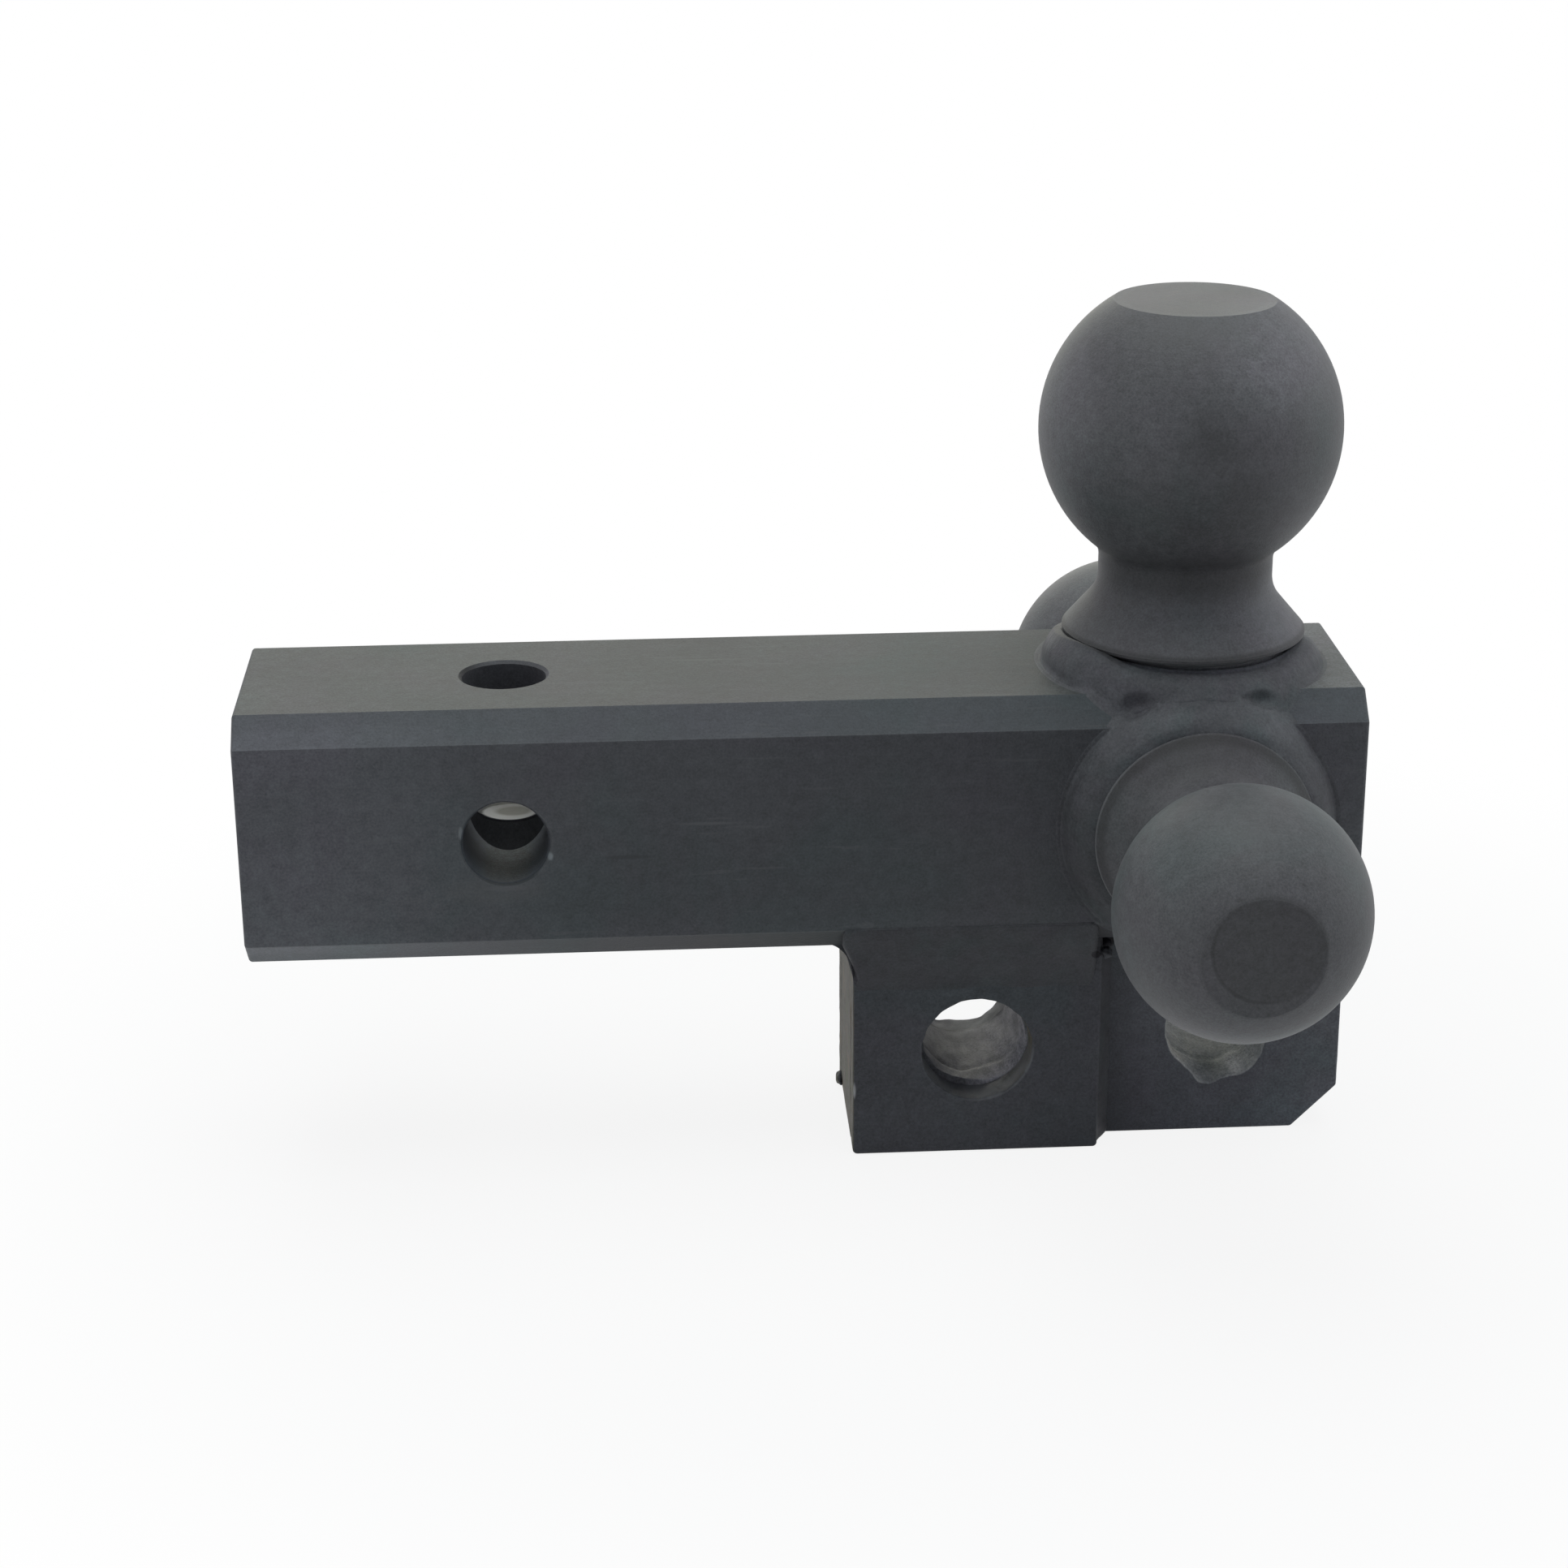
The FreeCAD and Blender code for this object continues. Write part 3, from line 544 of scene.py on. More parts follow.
def bored_wall(seed, lip=0.0, step=0.0, lobes=(), far_lobes=()):
    """A rough bored wall: marks left by the tool, lumps, and behind a narrower lip at the near
    mouth a groove and a step out. Lobes are where the near or far mouth is worn wider: angle in
    degrees, half width and depth. Gives how far the wall lies outside the hole's radius."""
    def unevenness(turn, from_near, from_far):
        around = Vector((math.cos(turn) * 3, math.sin(turn) * 3, 0))
        wander = 1.6 * noise.noise(around * 0.45 + Vector((0, 0, seed)))
        edge = min(from_near, from_far)
        rough = 0.34 * noise.noise(Vector((around.x, around.y, from_near * 0.12 + seed)))
        fine = 0.14 * noise.noise(Vector((around.x * 3, around.y * 3, from_near * 0.32 - seed)))
        found = (rough + fine) * min(1.0, edge / 1.6)
        found += 0.20 * noise.noise(around * 1.7 + Vector((seed, 0, from_far * 0.2)))
        if lip:
            past = from_near - lip - wander
            found += step * min(1.0, max(0.0, past / 0.9))
            # The groove behind the lip is deepest at the left and runs out at the right
            deep = 0.45 * max(0.0, 0.25 - math.cos(turn - 0.7))
            found += deep * math.exp(-((past - 0.9) / 0.8) ** 2)
        for worn, inwards in ((lobes, from_near), (far_lobes, from_far)):
            for angle, half_width, deep in worn:
                worn_here = deep * near_angle(turn, angle, half_width)
                found += worn_here * max(0.0, 1 - inwards / WEAR_REACH)
        return found
    return unevenness


def make_plates():
    make_plate(
        "lug_plate_cut", "lug_plate",
        [(LUG_FRONT, LUG_BOTTOM), (LUG_REAR - LUG_CORNER_CUT, LUG_BOTTOM),
         (LUG_REAR, LUG_BOTTOM + LUG_CORNER_CUT), (LUG_REAR, LUG_TOP), (LUG_FRONT, LUG_TOP)],
        [(FRONT_HOLE, LUG_HOLE_RADIUS - 0.1, 0.3,
          bored_wall(3.0, 5.0, 0.35, [(258, 36, -0.55), (322, 34, 0.95)])),
         (REAR_HOLE, LUG_HOLE_RADIUS - 0.1, 1.0,
          bored_wall(11.0, 7.0, 0.2, [(261, 15, 2.3), (306, 27, 1.5)]))],
        -PLATE_HALF, PLATE_HALF, 41)
    near_worn = [(100, 60, -0.3)]
    far_worn = [(249, 8, 0.7), (296, 20, 0.7)]
    for side_name, near, far, seed, worn, worn_outside in (
            ("left", -CHEEK_OUTER, -PLATE_HALF, 43, near_worn, ()),
            ("right", PLATE_HALF, CHEEK_OUTER, 47, (), far_worn)):
        make_plate(
            side_name + "_cheek_cut", side_name + "_cheek_plate",
            [(LUG_FRONT, LUG_BOTTOM), (CHEEK_REAR, LUG_BOTTOM),
             (CHEEK_REAR, LUG_TOP), (LUG_FRONT, LUG_TOP)],
            [(FRONT_HOLE, CHEEK_HOLE_RADIUS, 0.4,
              bored_wall(seed * 0.7, lobes=worn, far_lobes=worn_outside))],
            near, far, seed)


def make_drop(name, centre, reach, seed):
    """A drop of metal left by cutting or welding."""
    work = bmesh.new()
    bmesh.ops.create_icosphere(work, subdivisions=4, radius=1.0)
    for vertex in work.verts:
        direction = vertex.co.normalized()
        size = 1 + 0.3 * lumps(direction * 2, 1.3, seed)
        vertex.co = (centre + Matrix.Diagonal(reach) @ direction * size) * MM
    for face in work.faces:
        face.smooth = True
    add_piece(name, work)


def make_drops():
    make_drop("right_cheek_burr", Vector((LUG_FRONT - 0.1, PLATE_HALF + 1.0, LUG_BOTTOM + 1.3)),
              (1.1, 2.4, 1.2), 53)
    make_drop("left_weld_spatter", Vector((CHEEK_REAR + 0.7, -CHEEK_OUTER - 0.5, -28.9)),
              (1.1, 1.3, 1.15), 57)


# --- Node trees ---
class Nodes:
    """Adds nodes to one shader tree. A value is one of its sockets or plain; a plain colour is
    three numbers."""

    def __init__(self, tree):
        self.tree = tree

    def wire(self, value, socket):
        if isinstance(value, bpy.types.NodeSocket):
            self.tree.links.new(value, socket)
        else:
            socket.default_value = (*value, 1) if socket.type == "RGBA" else value

    def add(self, kind, inputs=None, **settings):
        made = self.tree.nodes.new("ShaderNode" + kind)
        for name, value in settings.items():
            setattr(made, name, value)
        for name, value in (inputs or {}).items():
            self.wire(value, made.inputs[name])
        return made

    def place(self, group, inputs):
        """Places a shader group; gives its outputs."""
        made = self.add("Group", node_tree=group)
        for name, value in inputs.items():
            self.wire(value, made.inputs[name])
        return made.outputs

    def calc(self, operation, *values):
        made = self.add("Math", operation=operation)
        for index, value in enumerate(values):
            self.wire(value, made.inputs[index])
        return made.outputs[0]

    def vector(self, operation, *values):
        made = self.add("VectorMath", operation=operation)
        for index, value in enumerate(values):
            self.wire(value, made.inputs[index])
        return made.outputs["Value" if operation in ("LENGTH", "DOT_PRODUCT") else 0]

    def split(self, position):
        """A place's three parts: along the bar, across it and up."""
        return self.add("SeparateXYZ", {"Vector": position}).outputs

    def join(self, x, y, z):
        return self.add("CombineXYZ", {"X": x, "Y": y, "Z": z}).outputs[0]

    def product(self, first, *others):
        for other in others:
            first = self.calc("MULTIPLY", first, other)
        return first

    def from_axis(self, aside, above):
        """Distance from an axis, from the two distances across it."""
        squared = self.calc("MULTIPLY_ADD", aside, aside, self.calc("MULTIPLY", above, above))
        return self.calc("SQRT", squared)

    def ramp(self, value, low, high, to_low=0.0, to_high=1.0):
        """Maps low..high smoothly to to_low..to_high."""
        return self.add("MapRange", {
            "Value": value, "From Min": low, "From Max": high,
            "To Min": to_low, "To Max": to_high}, interpolation_type="SMOOTHSTEP").outputs[0]

    def mix(self, share, first, second, blend="MIX"):
        made = self.add("Mix", data_type="RGBA", blend_type=blend)
        for index, value in ((0, share), (6, first), (7, second)):
            self.wire(value, made.inputs[index])
        return made.outputs[2]

    def tinted(self, colour, tint, share=1.0):
        return self.mix(share, colour, tint, "MULTIPLY")

    def toned(self, colour, mask, change):
        """A colour made paler by a share of itself where mask is 1, or darker by one below 0."""
        return self.tinted(colour, self.calc("MULTIPLY_ADD", mask, change, 1.0))

    def faded(self, colour, value, low, high, to_low, to_high):
        """A colour times a factor that goes from to_low to to_high between two values."""
        return self.tinted(colour, self.ramp(value, low, high, to_low, to_high))

    def spot(self, position, centre, radii, softness=0.4):
        return self.place(SOFT_SPOT, {
            "Position": position, "Centre": tuple(centre), "Radii": tuple(radii),
            "Softness": softness})["Mask"]

    def facing(self, direction):
        """How nearly the surface faces a direction, 1 where it does."""
        normal = self.add("NewGeometry").outputs["Normal"]
        return self.vector("DOT_PRODUCT", normal, direction)

    def seen_straight(self):
        """1 for what the camera sees, straight or mirrored; 0 for what lights the hitch."""
        path = self.add("LightPath").outputs
        seen = self.calc("MAXIMUM", path["Is Camera Ray"], path["Is Glossy Ray"])
        return self.calc("MAXIMUM", seen, path["Is Transmission Ray"])


def new_group(name, inputs, outputs):
    """A shader group to fill in: its nodes, what it is given and what it gives. An input is a
    name, a kind and a value to start from, an output a name and a kind."""
    tree = bpy.data.node_groups.new(name, "ShaderNodeTree")
    for label, kind, value in inputs:
        socket = tree.interface.new_socket(
            name=label, in_out="INPUT", socket_type="NodeSocket" + kind)
        if value is not None:
            socket.default_value = value
    for label, kind in outputs:
        tree.interface.new_socket(name=label, in_out="OUTPUT", socket_type="NodeSocket" + kind)
    given = tree.nodes.new("NodeGroupInput").outputs
    gives = tree.nodes.new("NodeGroupOutput").inputs
    return Nodes(tree), given, gives


def make_grain_group():
    """The fine grain of a blasted and painted surface."""
    nodes, given, gives = new_group(
        "Blasted grain",
        [("Position", "Vector", None), ("Grain Size", "Float", 0.5)],
        [("Tone", "Float"), ("Height", "Float")])
    scale = nodes.calc("DIVIDE", 1.0, given["Grain Size"])
    fine = nodes.add("TexNoise", {
        "Vector": given["Position"], "Scale": scale, "Detail": 3.0, "Roughness": 0.7})
    coarse = nodes.add("TexNoise", {
        "Vector": given["Position"], "Scale": nodes.calc("MULTIPLY", scale, 0.23),
        "Detail": 2.0, "Roughness": 0.5})
    mixed = nodes.calc("MULTIPLY_ADD", coarse.outputs[0], 0.45, fine.outputs[0])
    nodes.wire(nodes.calc("SUBTRACT", mixed, 0.725), gives["Tone"])
    nodes.wire(mixed, gives["Height"])
    return nodes.tree


def make_smudge_group():
    """Large soft patches where the finish is paler or darker."""
    nodes, given, gives = new_group(
        "Smudges",
        [("Position", "Vector", None), ("Patch Size", "Float", 30.0)],
        [("Pale", "Float"), ("Dark", "Float")])
    patch = nodes.add("TexNoise", {
        "Vector": given["Position"], "Scale": nodes.calc("DIVIDE", 1.0, given["Patch Size"]),
        "Detail": 4.0, "Roughness": 0.55, "Distortion": 0.4})
    nodes.wire(nodes.ramp(patch.outputs[0], 0.48, 0.70), gives["Pale"])
    nodes.wire(nodes.ramp(patch.outputs[0], 0.50, 0.30), gives["Dark"])
    return nodes.tree


def make_edge_group():
    """Where an edge is near: the rubbed line along arrises and rims, which on the balls' collars is
    also a painted highlight.
    """
    nodes, given, gives = new_group(
        "Edge rub and highlight",
        [("Position", "Vector", None), ("Width", "Float", 0.0006), ("Break Up", "Float", 0.5)],
        [("Edge", "Float")])
    rounded = nodes.add("Bevel", {"Radius": given["Width"]}, samples=4)
    edge = nodes.ramp(nodes.facing(rounded.outputs[0]), 0.995, 0.88)
    patch = nodes.add("TexNoise", {
        "Vector": given["Position"], "Scale": 0.35, "Detail": 3.0, "Roughness": 0.6})
    broken = nodes.calc("SUBTRACT", nodes.ramp(patch.outputs[0], 0.35, 0.62), 1.0)
    kept = nodes.calc("MULTIPLY_ADD", broken, given["Break Up"], 1.0)
    nodes.wire(nodes.calc("MULTIPLY", edge, kept), gives["Edge"])
    return nodes.tree


def make_drag_group():
    """Fine marks drawn out along one direction by rolling, turning or handling."""
    nodes, given, gives = new_group(
        "Drawn marks",
        [("Position", "Vector", None), ("Stretch", "Vector", (0.05, 1.0, 1.0)),
         ("Threshold", "Float", 0.6)],
        [("Mark", "Float"), ("Streak", "Float")])
    streak = nodes.add("TexNoise", {
        "Vector": nodes.vector("MULTIPLY", given["Position"], given["Stretch"]),
        "Scale": 1.0, "Detail": 3.0, "Roughness": 0.65})
    high = nodes.calc("ADD", given["Threshold"], 0.06)
    nodes.wire(nodes.ramp(streak.outputs[0], given["Threshold"], high), gives["Mark"])
    nodes.wire(nodes.calc("SUBTRACT", streak.outputs[0], 0.5), gives["Streak"])
    return nodes.tree


def make_spot_group():
    """A spot with a soft border: 1 inside an ellipsoid and 0 outside."""
    nodes, given, gives = new_group(
        "Soft spot",
        [("Position", "Vector", None), ("Centre", "Vector", None),
         ("Radii", "Vector", (1.0, 1.0, 1.0)), ("Softness", "Float", 0.4)],
        [("Mask", "Float")])
    away = nodes.vector("SUBTRACT", given["Position"], given["Centre"])
    away = nodes.vector("LENGTH", nodes.vector("DIVIDE", away, given["Radii"]))
    outer = nodes.calc("ADD", 1.0, given["Softness"])
    inner = nodes.calc("SUBTRACT", 1.0, given["Softness"])
    nodes.wire(nodes.ramp(away, outer, inner), gives["Mask"])
    return nodes.tree


def make_coat_group():
    """The charcoal coat: its colour with grain, and patches of other tones and hues."""
    nodes, given, gives = new_group(
        "Charcoal coat",
        [("Position", "Vector", None), ("Base", "Color", None), ("Pale", "Color", None),
         ("Grain Size", "Float", 0.5), ("Grain Depth", "Float", 1.5),
         ("Patch Size", "Float", 20.0), ("Smudging", "Float", 0.5)],
        [("Colour", "Color"), ("Tone", "Float"), ("Height", "Float")])
    position, base = given["Position"], given["Base"]
    grain = nodes.place(GRAIN, {"Position": position, "Grain Size": given["Grain Size"]})
    smudges = nodes.place(SMUDGES, {"Position": position, "Patch Size": given["Patch Size"]})
    pale_part = nodes.calc("MULTIPLY", smudges["Pale"], given["Smudging"])
    dark_part = nodes.calc("MULTIPLY", smudges["Dark"], given["Smudging"])
    colour = nodes.mix(pale_part, base, given["Pale"])
    colour = nodes.mix(dark_part, colour, nodes.tinted(base, (0.75, 0.75, 0.75)))
    hues = nodes.place(SMUDGES, {
        "Position": nodes.vector("ADD", position, (37.0, 11.0, 23.0)),
        "Patch Size": nodes.calc("MULTIPLY", given["Patch Size"], 1.1)})
    hue = nodes.mix(hues["Pale"], (1, 1, 1), (0.935, 1.025, 1.0))
    hue = nodes.mix(hues["Dark"], hue, (1.03, 0.985, 1.02))
    colour = nodes.toned(nodes.tinted(colour, hue), grain["Tone"], given["Grain Depth"])
    nodes.wire(colour, gives["Colour"])
    nodes.wire(grain["Tone"], gives["Tone"])
    nodes.wire(grain["Height"], gives["Height"])
    return nodes.tree


# Painted shadow in the gaps between the near cheek's bead and the plate: centre and radii, along
# the slanting gaps
GAP_SHADOW_LEAN = (-0.16, 0.44)
GAP_SHADOWS = [((117.2, -19.6, -26.3), (1.5, 30, 1.5)), ((115.1, -19.1, -29.5), (0.95, 30, 0.75))]
GAP_SHADOW_COLOUR = (0.010, 0.010, 0.013)


def make_gap_shadow_group():
    """Painted shadow of the gaps beside the near cheek's bead, which slant down into the corner
    behind it.
    """
    nodes, given, gives = new_group(
        "Painted gap shadows", [("Position", "Vector", None), ("Colour", "Color", None)],
        [("Colour", "Color")])
    x, y, z = nodes.split(given["Position"])
    lean_x, lean_z = GAP_SHADOW_LEAN
    slanted = nodes.join(nodes.calc("MULTIPLY_ADD", y, lean_x, x), y,
                         nodes.calc("MULTIPLY_ADD", y, lean_z, z))
    colour = given["Colour"]
    for (along, across, up), radii in GAP_SHADOWS:
        centre = (along + lean_x * across, across, up + lean_z * across)
        hole = nodes.spot(slanted, centre, radii, 0.2)
        colour = nodes.mix(hole, colour, GAP_SHADOW_COLOUR)
    nodes.wire(colour, gives["Colour"])
    return nodes.tree


GRAIN = make_grain_group()
SMUDGES = make_smudge_group()
EDGE_RUB_AND_HIGHLIGHT = make_edge_group()
DRAWN_MARKS = make_drag_group()
SOFT_SPOT = make_spot_group()
CHARCOAL_COAT = make_coat_group()
GAP_SHADOW_GROUP = make_gap_shadow_group()
RUB_WIDTH = 0.7 * MM


# --- Finishes ---
def new_material(name, specular):
    """A material's nodes, and a position in millimetres for its patterns."""
    material = bpy.data.materials.new(name)
    material.use_nodes = True
    nodes = Nodes(material.node_tree)
    nodes.wire(specular, nodes.tree.nodes["Principled BSDF"].inputs["Specular IOR Level"])
    place = nodes.add("TexCoord").outputs["Object"]
    return material, nodes, nodes.vector("MULTIPLY", place, (1 / MM, 1 / MM, 1 / MM))


def charcoal(nodes, position, base, pale, grain_size, grain_depth, patch_size, smudging):
    """The coat's colour, the grain's tone and its height."""
    coat = nodes.place(CHARCOAL_COAT, {
        "Position": position, "Base": base, "Pale": pale, "Grain Size": grain_size,
        "Grain Depth": grain_depth, "Patch Size": patch_size, "Smudging": smudging})
    return coat["Colour"], coat["Tone"], coat["Height"]


def rub_edges_and_highlight(nodes, colour, position, break_up, share, bare):
    """Rubs the finish off along edges, in broken lines; on the balls' collar rims this is also a
    painted highlight.
    """
    rub_and_highlight = nodes.place(EDGE_RUB_AND_HIGHLIGHT, {"Position": position, "Width": RUB_WIDTH, "Break Up": break_up})
    return nodes.mix(nodes.calc("MULTIPLY", rub_and_highlight["Edge"], share), colour, bare)


def with_gap_shadows(nodes, colour, position):
    return nodes.place(GAP_SHADOW_GROUP, {"Position": position, "Colour": colour})["Colour"]


def finish_material(nodes, colour, tone, height, variation, roughness, depth):
    """Wires colour, roughness and a bump; depth is the bump's size in millimetres."""
    shader = nodes.tree.nodes["Principled BSDF"].inputs
    bump = nodes.add("Bump", {"Height": height, "Strength": 1.0, "Distance": depth * MM})
    nodes.wire(colour, shader["Base Color"])
    nodes.wire(nodes.calc("MULTIPLY_ADD", tone, variation, roughness), shader["Roughness"])
    nodes.wire(bump.outputs[0], shader["Normal"])


# Marks on the bar: centre, radii, how strong, colour
BAR_MARKS = [
    # Worn round the near pin hole, with two bright nicks at its rim
    ((-2.0, -HALF_SIDE, -9.6), (8.5, 2, 2.6), 0.35, (0.125, 0.128, 0.128)),
    ((-8.35, -HALF_SIDE, 2.1), (0.45, 0.9, 1.3), 0.8, (0.23, 0.25, 0.26)),
    ((8.45, -HALF_SIDE, -2.9), (0.5, 0.9, 0.75), 0.9, (0.26, 0.29, 0.30)),
    ((0.0, -HALF_SIDE, -9.3), (4.0, 0.9, 0.5), 0.20, (0.17, 0.17, 0.18)),
    # Scratches and a scuff on the near face, and one each on the far face and on top
    ((69.0, -HALF_SIDE, -19.2), (1.5, 0.8, 0.8), 0.25, (0.14, 0.145, 0.15)),
    ((38.7, -HALF_SIDE, 3.0), (5.4, 2, 0.28), 0.42, (0.135, 0.14, 0.145)),
    ((23.0, -HALF_SIDE, -3.5), (4.6, 2, 0.45), 0.6, (0.045, 0.047, 0.05)),
    ((60.0, -HALF_SIDE, 9.5), (3.0, 2, 0.25), 0.22, (0.13, 0.135, 0.14)),
    ((88.0, HALF_SIDE, -4.0), (6.0, 2, 0.3), 0.5, (0.13, 0.135, 0.14)),
    ((40.0, 6.0, HALF_SIDE), (7.0, 0.4, 2), 0.4, (0.13, 0.135, 0.13)),
]


def make_bar_material():
    """Rolled bar: streaks along it, chalky towards its open end, darker towards the welds."""
    material, nodes, position = new_material("Charcoal over rolled bar", 0.2)
    along_bar, from_middle, height_on_bar = nodes.split(position)
    aside = nodes.calc("ABSOLUTE", from_middle)
    upward = nodes.facing(tuple(UP))
    faced_up = nodes.ramp(upward, 0.75, 0.95)
    colour, tone, height = charcoal(
        nodes, position, (0.075, 0.078, 0.084), (0.092, 0.098, 0.103), 0.5,
        nodes.ramp(upward, 0.75, 0.95, 1.15, 2.3), 30.0, 0.34)
    colour = nodes.faded(colour, along_bar, -52.0, 75.0, 1.19, 0.905)
    # Paler behind the balls, with painted light on the faces turned up there, and a painted olive
    # tint of the overhead light on all faces turned up
    rear_pale_and_top_light = nodes.product(nodes.ramp(along_bar, 141.0, 158.0),
                             nodes.calc("MULTIPLY_ADD", faced_up, 0.90, 0.36))
    colour = nodes.toned(colour, rear_pale_and_top_light, 1.0)
    overhead_light_tint = nodes.mix(nodes.ramp(along_bar, 75.0, 35.0), (1.0, 1.005, 0.945), (0.965, 0.97, 0.885))
    colour = nodes.tinted(colour, overhead_light_tint, faced_up)
    # Painted bluish light of the cool surroundings on the upper chamfers, more so towards the balls
    cool_light_on_chamfers = nodes.product(nodes.ramp(upward, 0.5, 0.65), nodes.ramp(upward, 0.9, 0.8),
                            nodes.ramp(along_bar, -50.0, 100.0, 0.5, 1.0),
                            nodes.ramp(aside, 17.5, 19.0))
    colour = nodes.tinted(colour, (1.07, 1.14, 1.145), cool_light_on_chamfers)
    # The near and far faces are chalkier at the open end and along their lower edge
    chalk = nodes.product(nodes.ramp(aside, 19.0, 25.3), nodes.ramp(along_bar, 8.0, -46.0))
    colour = nodes.toned(colour, chalk, 0.32)
    colour = nodes.faded(colour, height_on_bar, -13.0, -20.0, 1.0, 1.08)
    # Painted light and shade on the lower chamfer: paler at the open end, where the floor lights
    # it, and darker towards the lug, which shades it
    low = nodes.ramp(height_on_bar, -CORNER_START, -CORNER_START - 0.4)
    low_chamfer_light_and_shade = nodes.calc("SUBTRACT", nodes.ramp(along_bar, -50.0, 62.0, 1.45, 0.58), 1.0)
    colour = nodes.toned(colour, low_chamfer_light_and_shade, low)
    streaks = nodes.place(DRAWN_MARKS, {
        "Position": position, "Stretch": (0.035, 0.55, 0.55), "Threshold": 0.62})
    colour = nodes.mix(nodes.calc("MULTIPLY", streaks["Mark"], 0.30), colour,
                       (0.115, 0.118, 0.122))
    colour = nodes.toned(colour, streaks["Streak"], 0.17)
    for centre, radii, amount, shade in BAR_MARKS:
        mark = nodes.calc("MULTIPLY", nodes.spot(position, centre, radii, 0.5), amount)
        colour = nodes.mix(mark, colour, shade)
    colour = rub_edges_and_highlight(nodes, colour, position, 0.6, 0.4, (0.15, 0.155, 0.16))
    # The upright hole's mouth is in shade at its front
    off_upright = nodes.from_axis(along_bar, from_middle)
    by_face = nodes.calc("ABSOLUTE", height_on_bar)
    mouth = nodes.product(nodes.ramp(off_upright, PIN_RADIUS + 0.7, PIN_RADIUS + 0.55),
                          nodes.ramp(by_face, HALF_SIDE - 0.8, HALF_SIDE - 0.55),
                          nodes.ramp(along_bar, -3.0, -8.0, 0.04, 0.78))
    colour = nodes.toned(colour, mouth, -1.0)
    # The cross hole's wall: painted shade at its lower mouth and towards its near mouth, darker
    # over its back half, and pale along the middle of that half
    off_axis = nodes.from_axis(along_bar, height_on_bar)
    shaded = nodes.product(nodes.ramp(off_axis, PIN_RADIUS + 0.62, PIN_RADIUS + 0.5),
                           nodes.ramp(height_on_bar, -5.5, -8.0))
    colour = nodes.toned(colour, shaded, -0.45)
    shaded_hole_wall = nodes.toned(colour, shaded, 0.82)
    for from_y, to_y, from_factor, to_factor in (
            (-24.0, -9.0, 0.82, 1.42), (-25.2, -24.5, 0.40, 1.0), (2.0, 6.0, 1.0, 0.45)):
        shaded_hole_wall = nodes.faded(shaded_hole_wall, from_middle, from_y, to_y, from_factor, to_factor)
    shaded_hole_wall = nodes.tinted(shaded_hole_wall, (0.95, 0.99, 1.09))
    # Pale patches on the back half, level from side to side though the wall curves
    levelled = nodes.calc("MULTIPLY_ADD", height_on_bar, 2.5,
                          nodes.calc("ADD", from_middle, 20.6))
    on_wall = nodes.join(along_bar, levelled, 0.0)
    bare = nodes.product(nodes.spot(on_wall, (-0.2, 12.6, 0.0), (5.3, 4.4, 1.0), 0.08),
                         nodes.ramp(from_middle, 2.0, 3.5))
    dull = nodes.spot(on_wall, (0.5, 13.0, 0.0), (3.6, 2.5, 1.0), 0.25)
    pale_wall_colour = nodes.mix(dull, (0.88, 0.88, 0.88), (0.42, 0.415, 0.39))
    pale_wall_colour = nodes.faded(pale_wall_colour, along_bar, -4.5, 5.5, 1.08, 0.78)
    bored = nodes.product(nodes.ramp(off_axis, PIN_RADIUS + 0.32, PIN_RADIUS + 0.18),
                          nodes.ramp(aside, HALF_SIDE, HALF_SIDE - 0.1))
    colour = nodes.mix(bored, colour, nodes.mix(bare, shaded_hole_wall, pale_wall_colour))
    finish_material(nodes, colour, tone, height, 0.35, 0.6, 0.09)
    return material


# The blasted disc on each ball's flat: centre, radius, and how much darker it is
FLAT_DISCS = {"left": ((BALL_STATION + 0.95, -89.8, 1.75), 10.25, 0.22),
              "right": ((BALL_STATION - 0.6, 88.2, -0.5), 10.8, 0.10),
              "top": ((BALL_STATION, 0.0, 97.0), 13.6, 0.10)}
NEAR_FLAT = (89.45, 89.7)  # where the near ball ends and its flat begins, out from the bar's axis
COLLAR_RIM = HALF_SIDE + 7.1
# Painted light and shade on the balls: centre, radii and how much paler
BALL_LIGHT_AND_SHADE = {
    "top": [((148.0, -15.0, 91.5), (12, 13, 10), 0.50), ((106.0, -8.0, 73.0), (8, 14, 15), 0.48),
            ((151.0, -9.0, 37.0), (9, 13, 8), 0.72), ((139.0, -29.0, 68.0), (4, 4, 3), -0.12),
            ((149.0, -20.0, 57.0), (8, 11, 9), 0.20), ((133.0, -20.0, 37.5), (26, 14, 4.5), 0.38),
            ((134.0, -27.0, 59.0), (19, 12, 8), -0.28), ((134.0, -18.0, 47.8), (20, 14, 5), -0.50),
            ((128.0, -14.0, 97.0), (17, 11, 9), -0.17), ((141.0, -25.0, 84.0), (7, 8, 6), 0.28),
            ((121.0, -24.0, 77.0), (6, 8, 7), 0.14), ((132.0, -29.0, 76.0), (5, 6, 4), -0.18)],
    "left": [((114.0, -68.0, 6.0), (7, 14, 15), 0.18), ((134.0, -66.0, -20.0), (18, 16, 9), 0.74),
             ((113.0, -70.0, -10.0), (7, 14, 12), 0.12), ((132.0, -36.0, 18.0), (13, 6, 6), -0.26),
             ((127.0, -72.0, 20.0), (12, 12, 6), -0.09),
             ((140.0, -72.0, -21.0), (14, 12, 5), 0.14)],
    "right": [((152.0, 66.0, 8.0), (7, 14, 13), 0.15), ((118.0, 62.0, 12.0), (14, 18, 14), 0.24)],
}


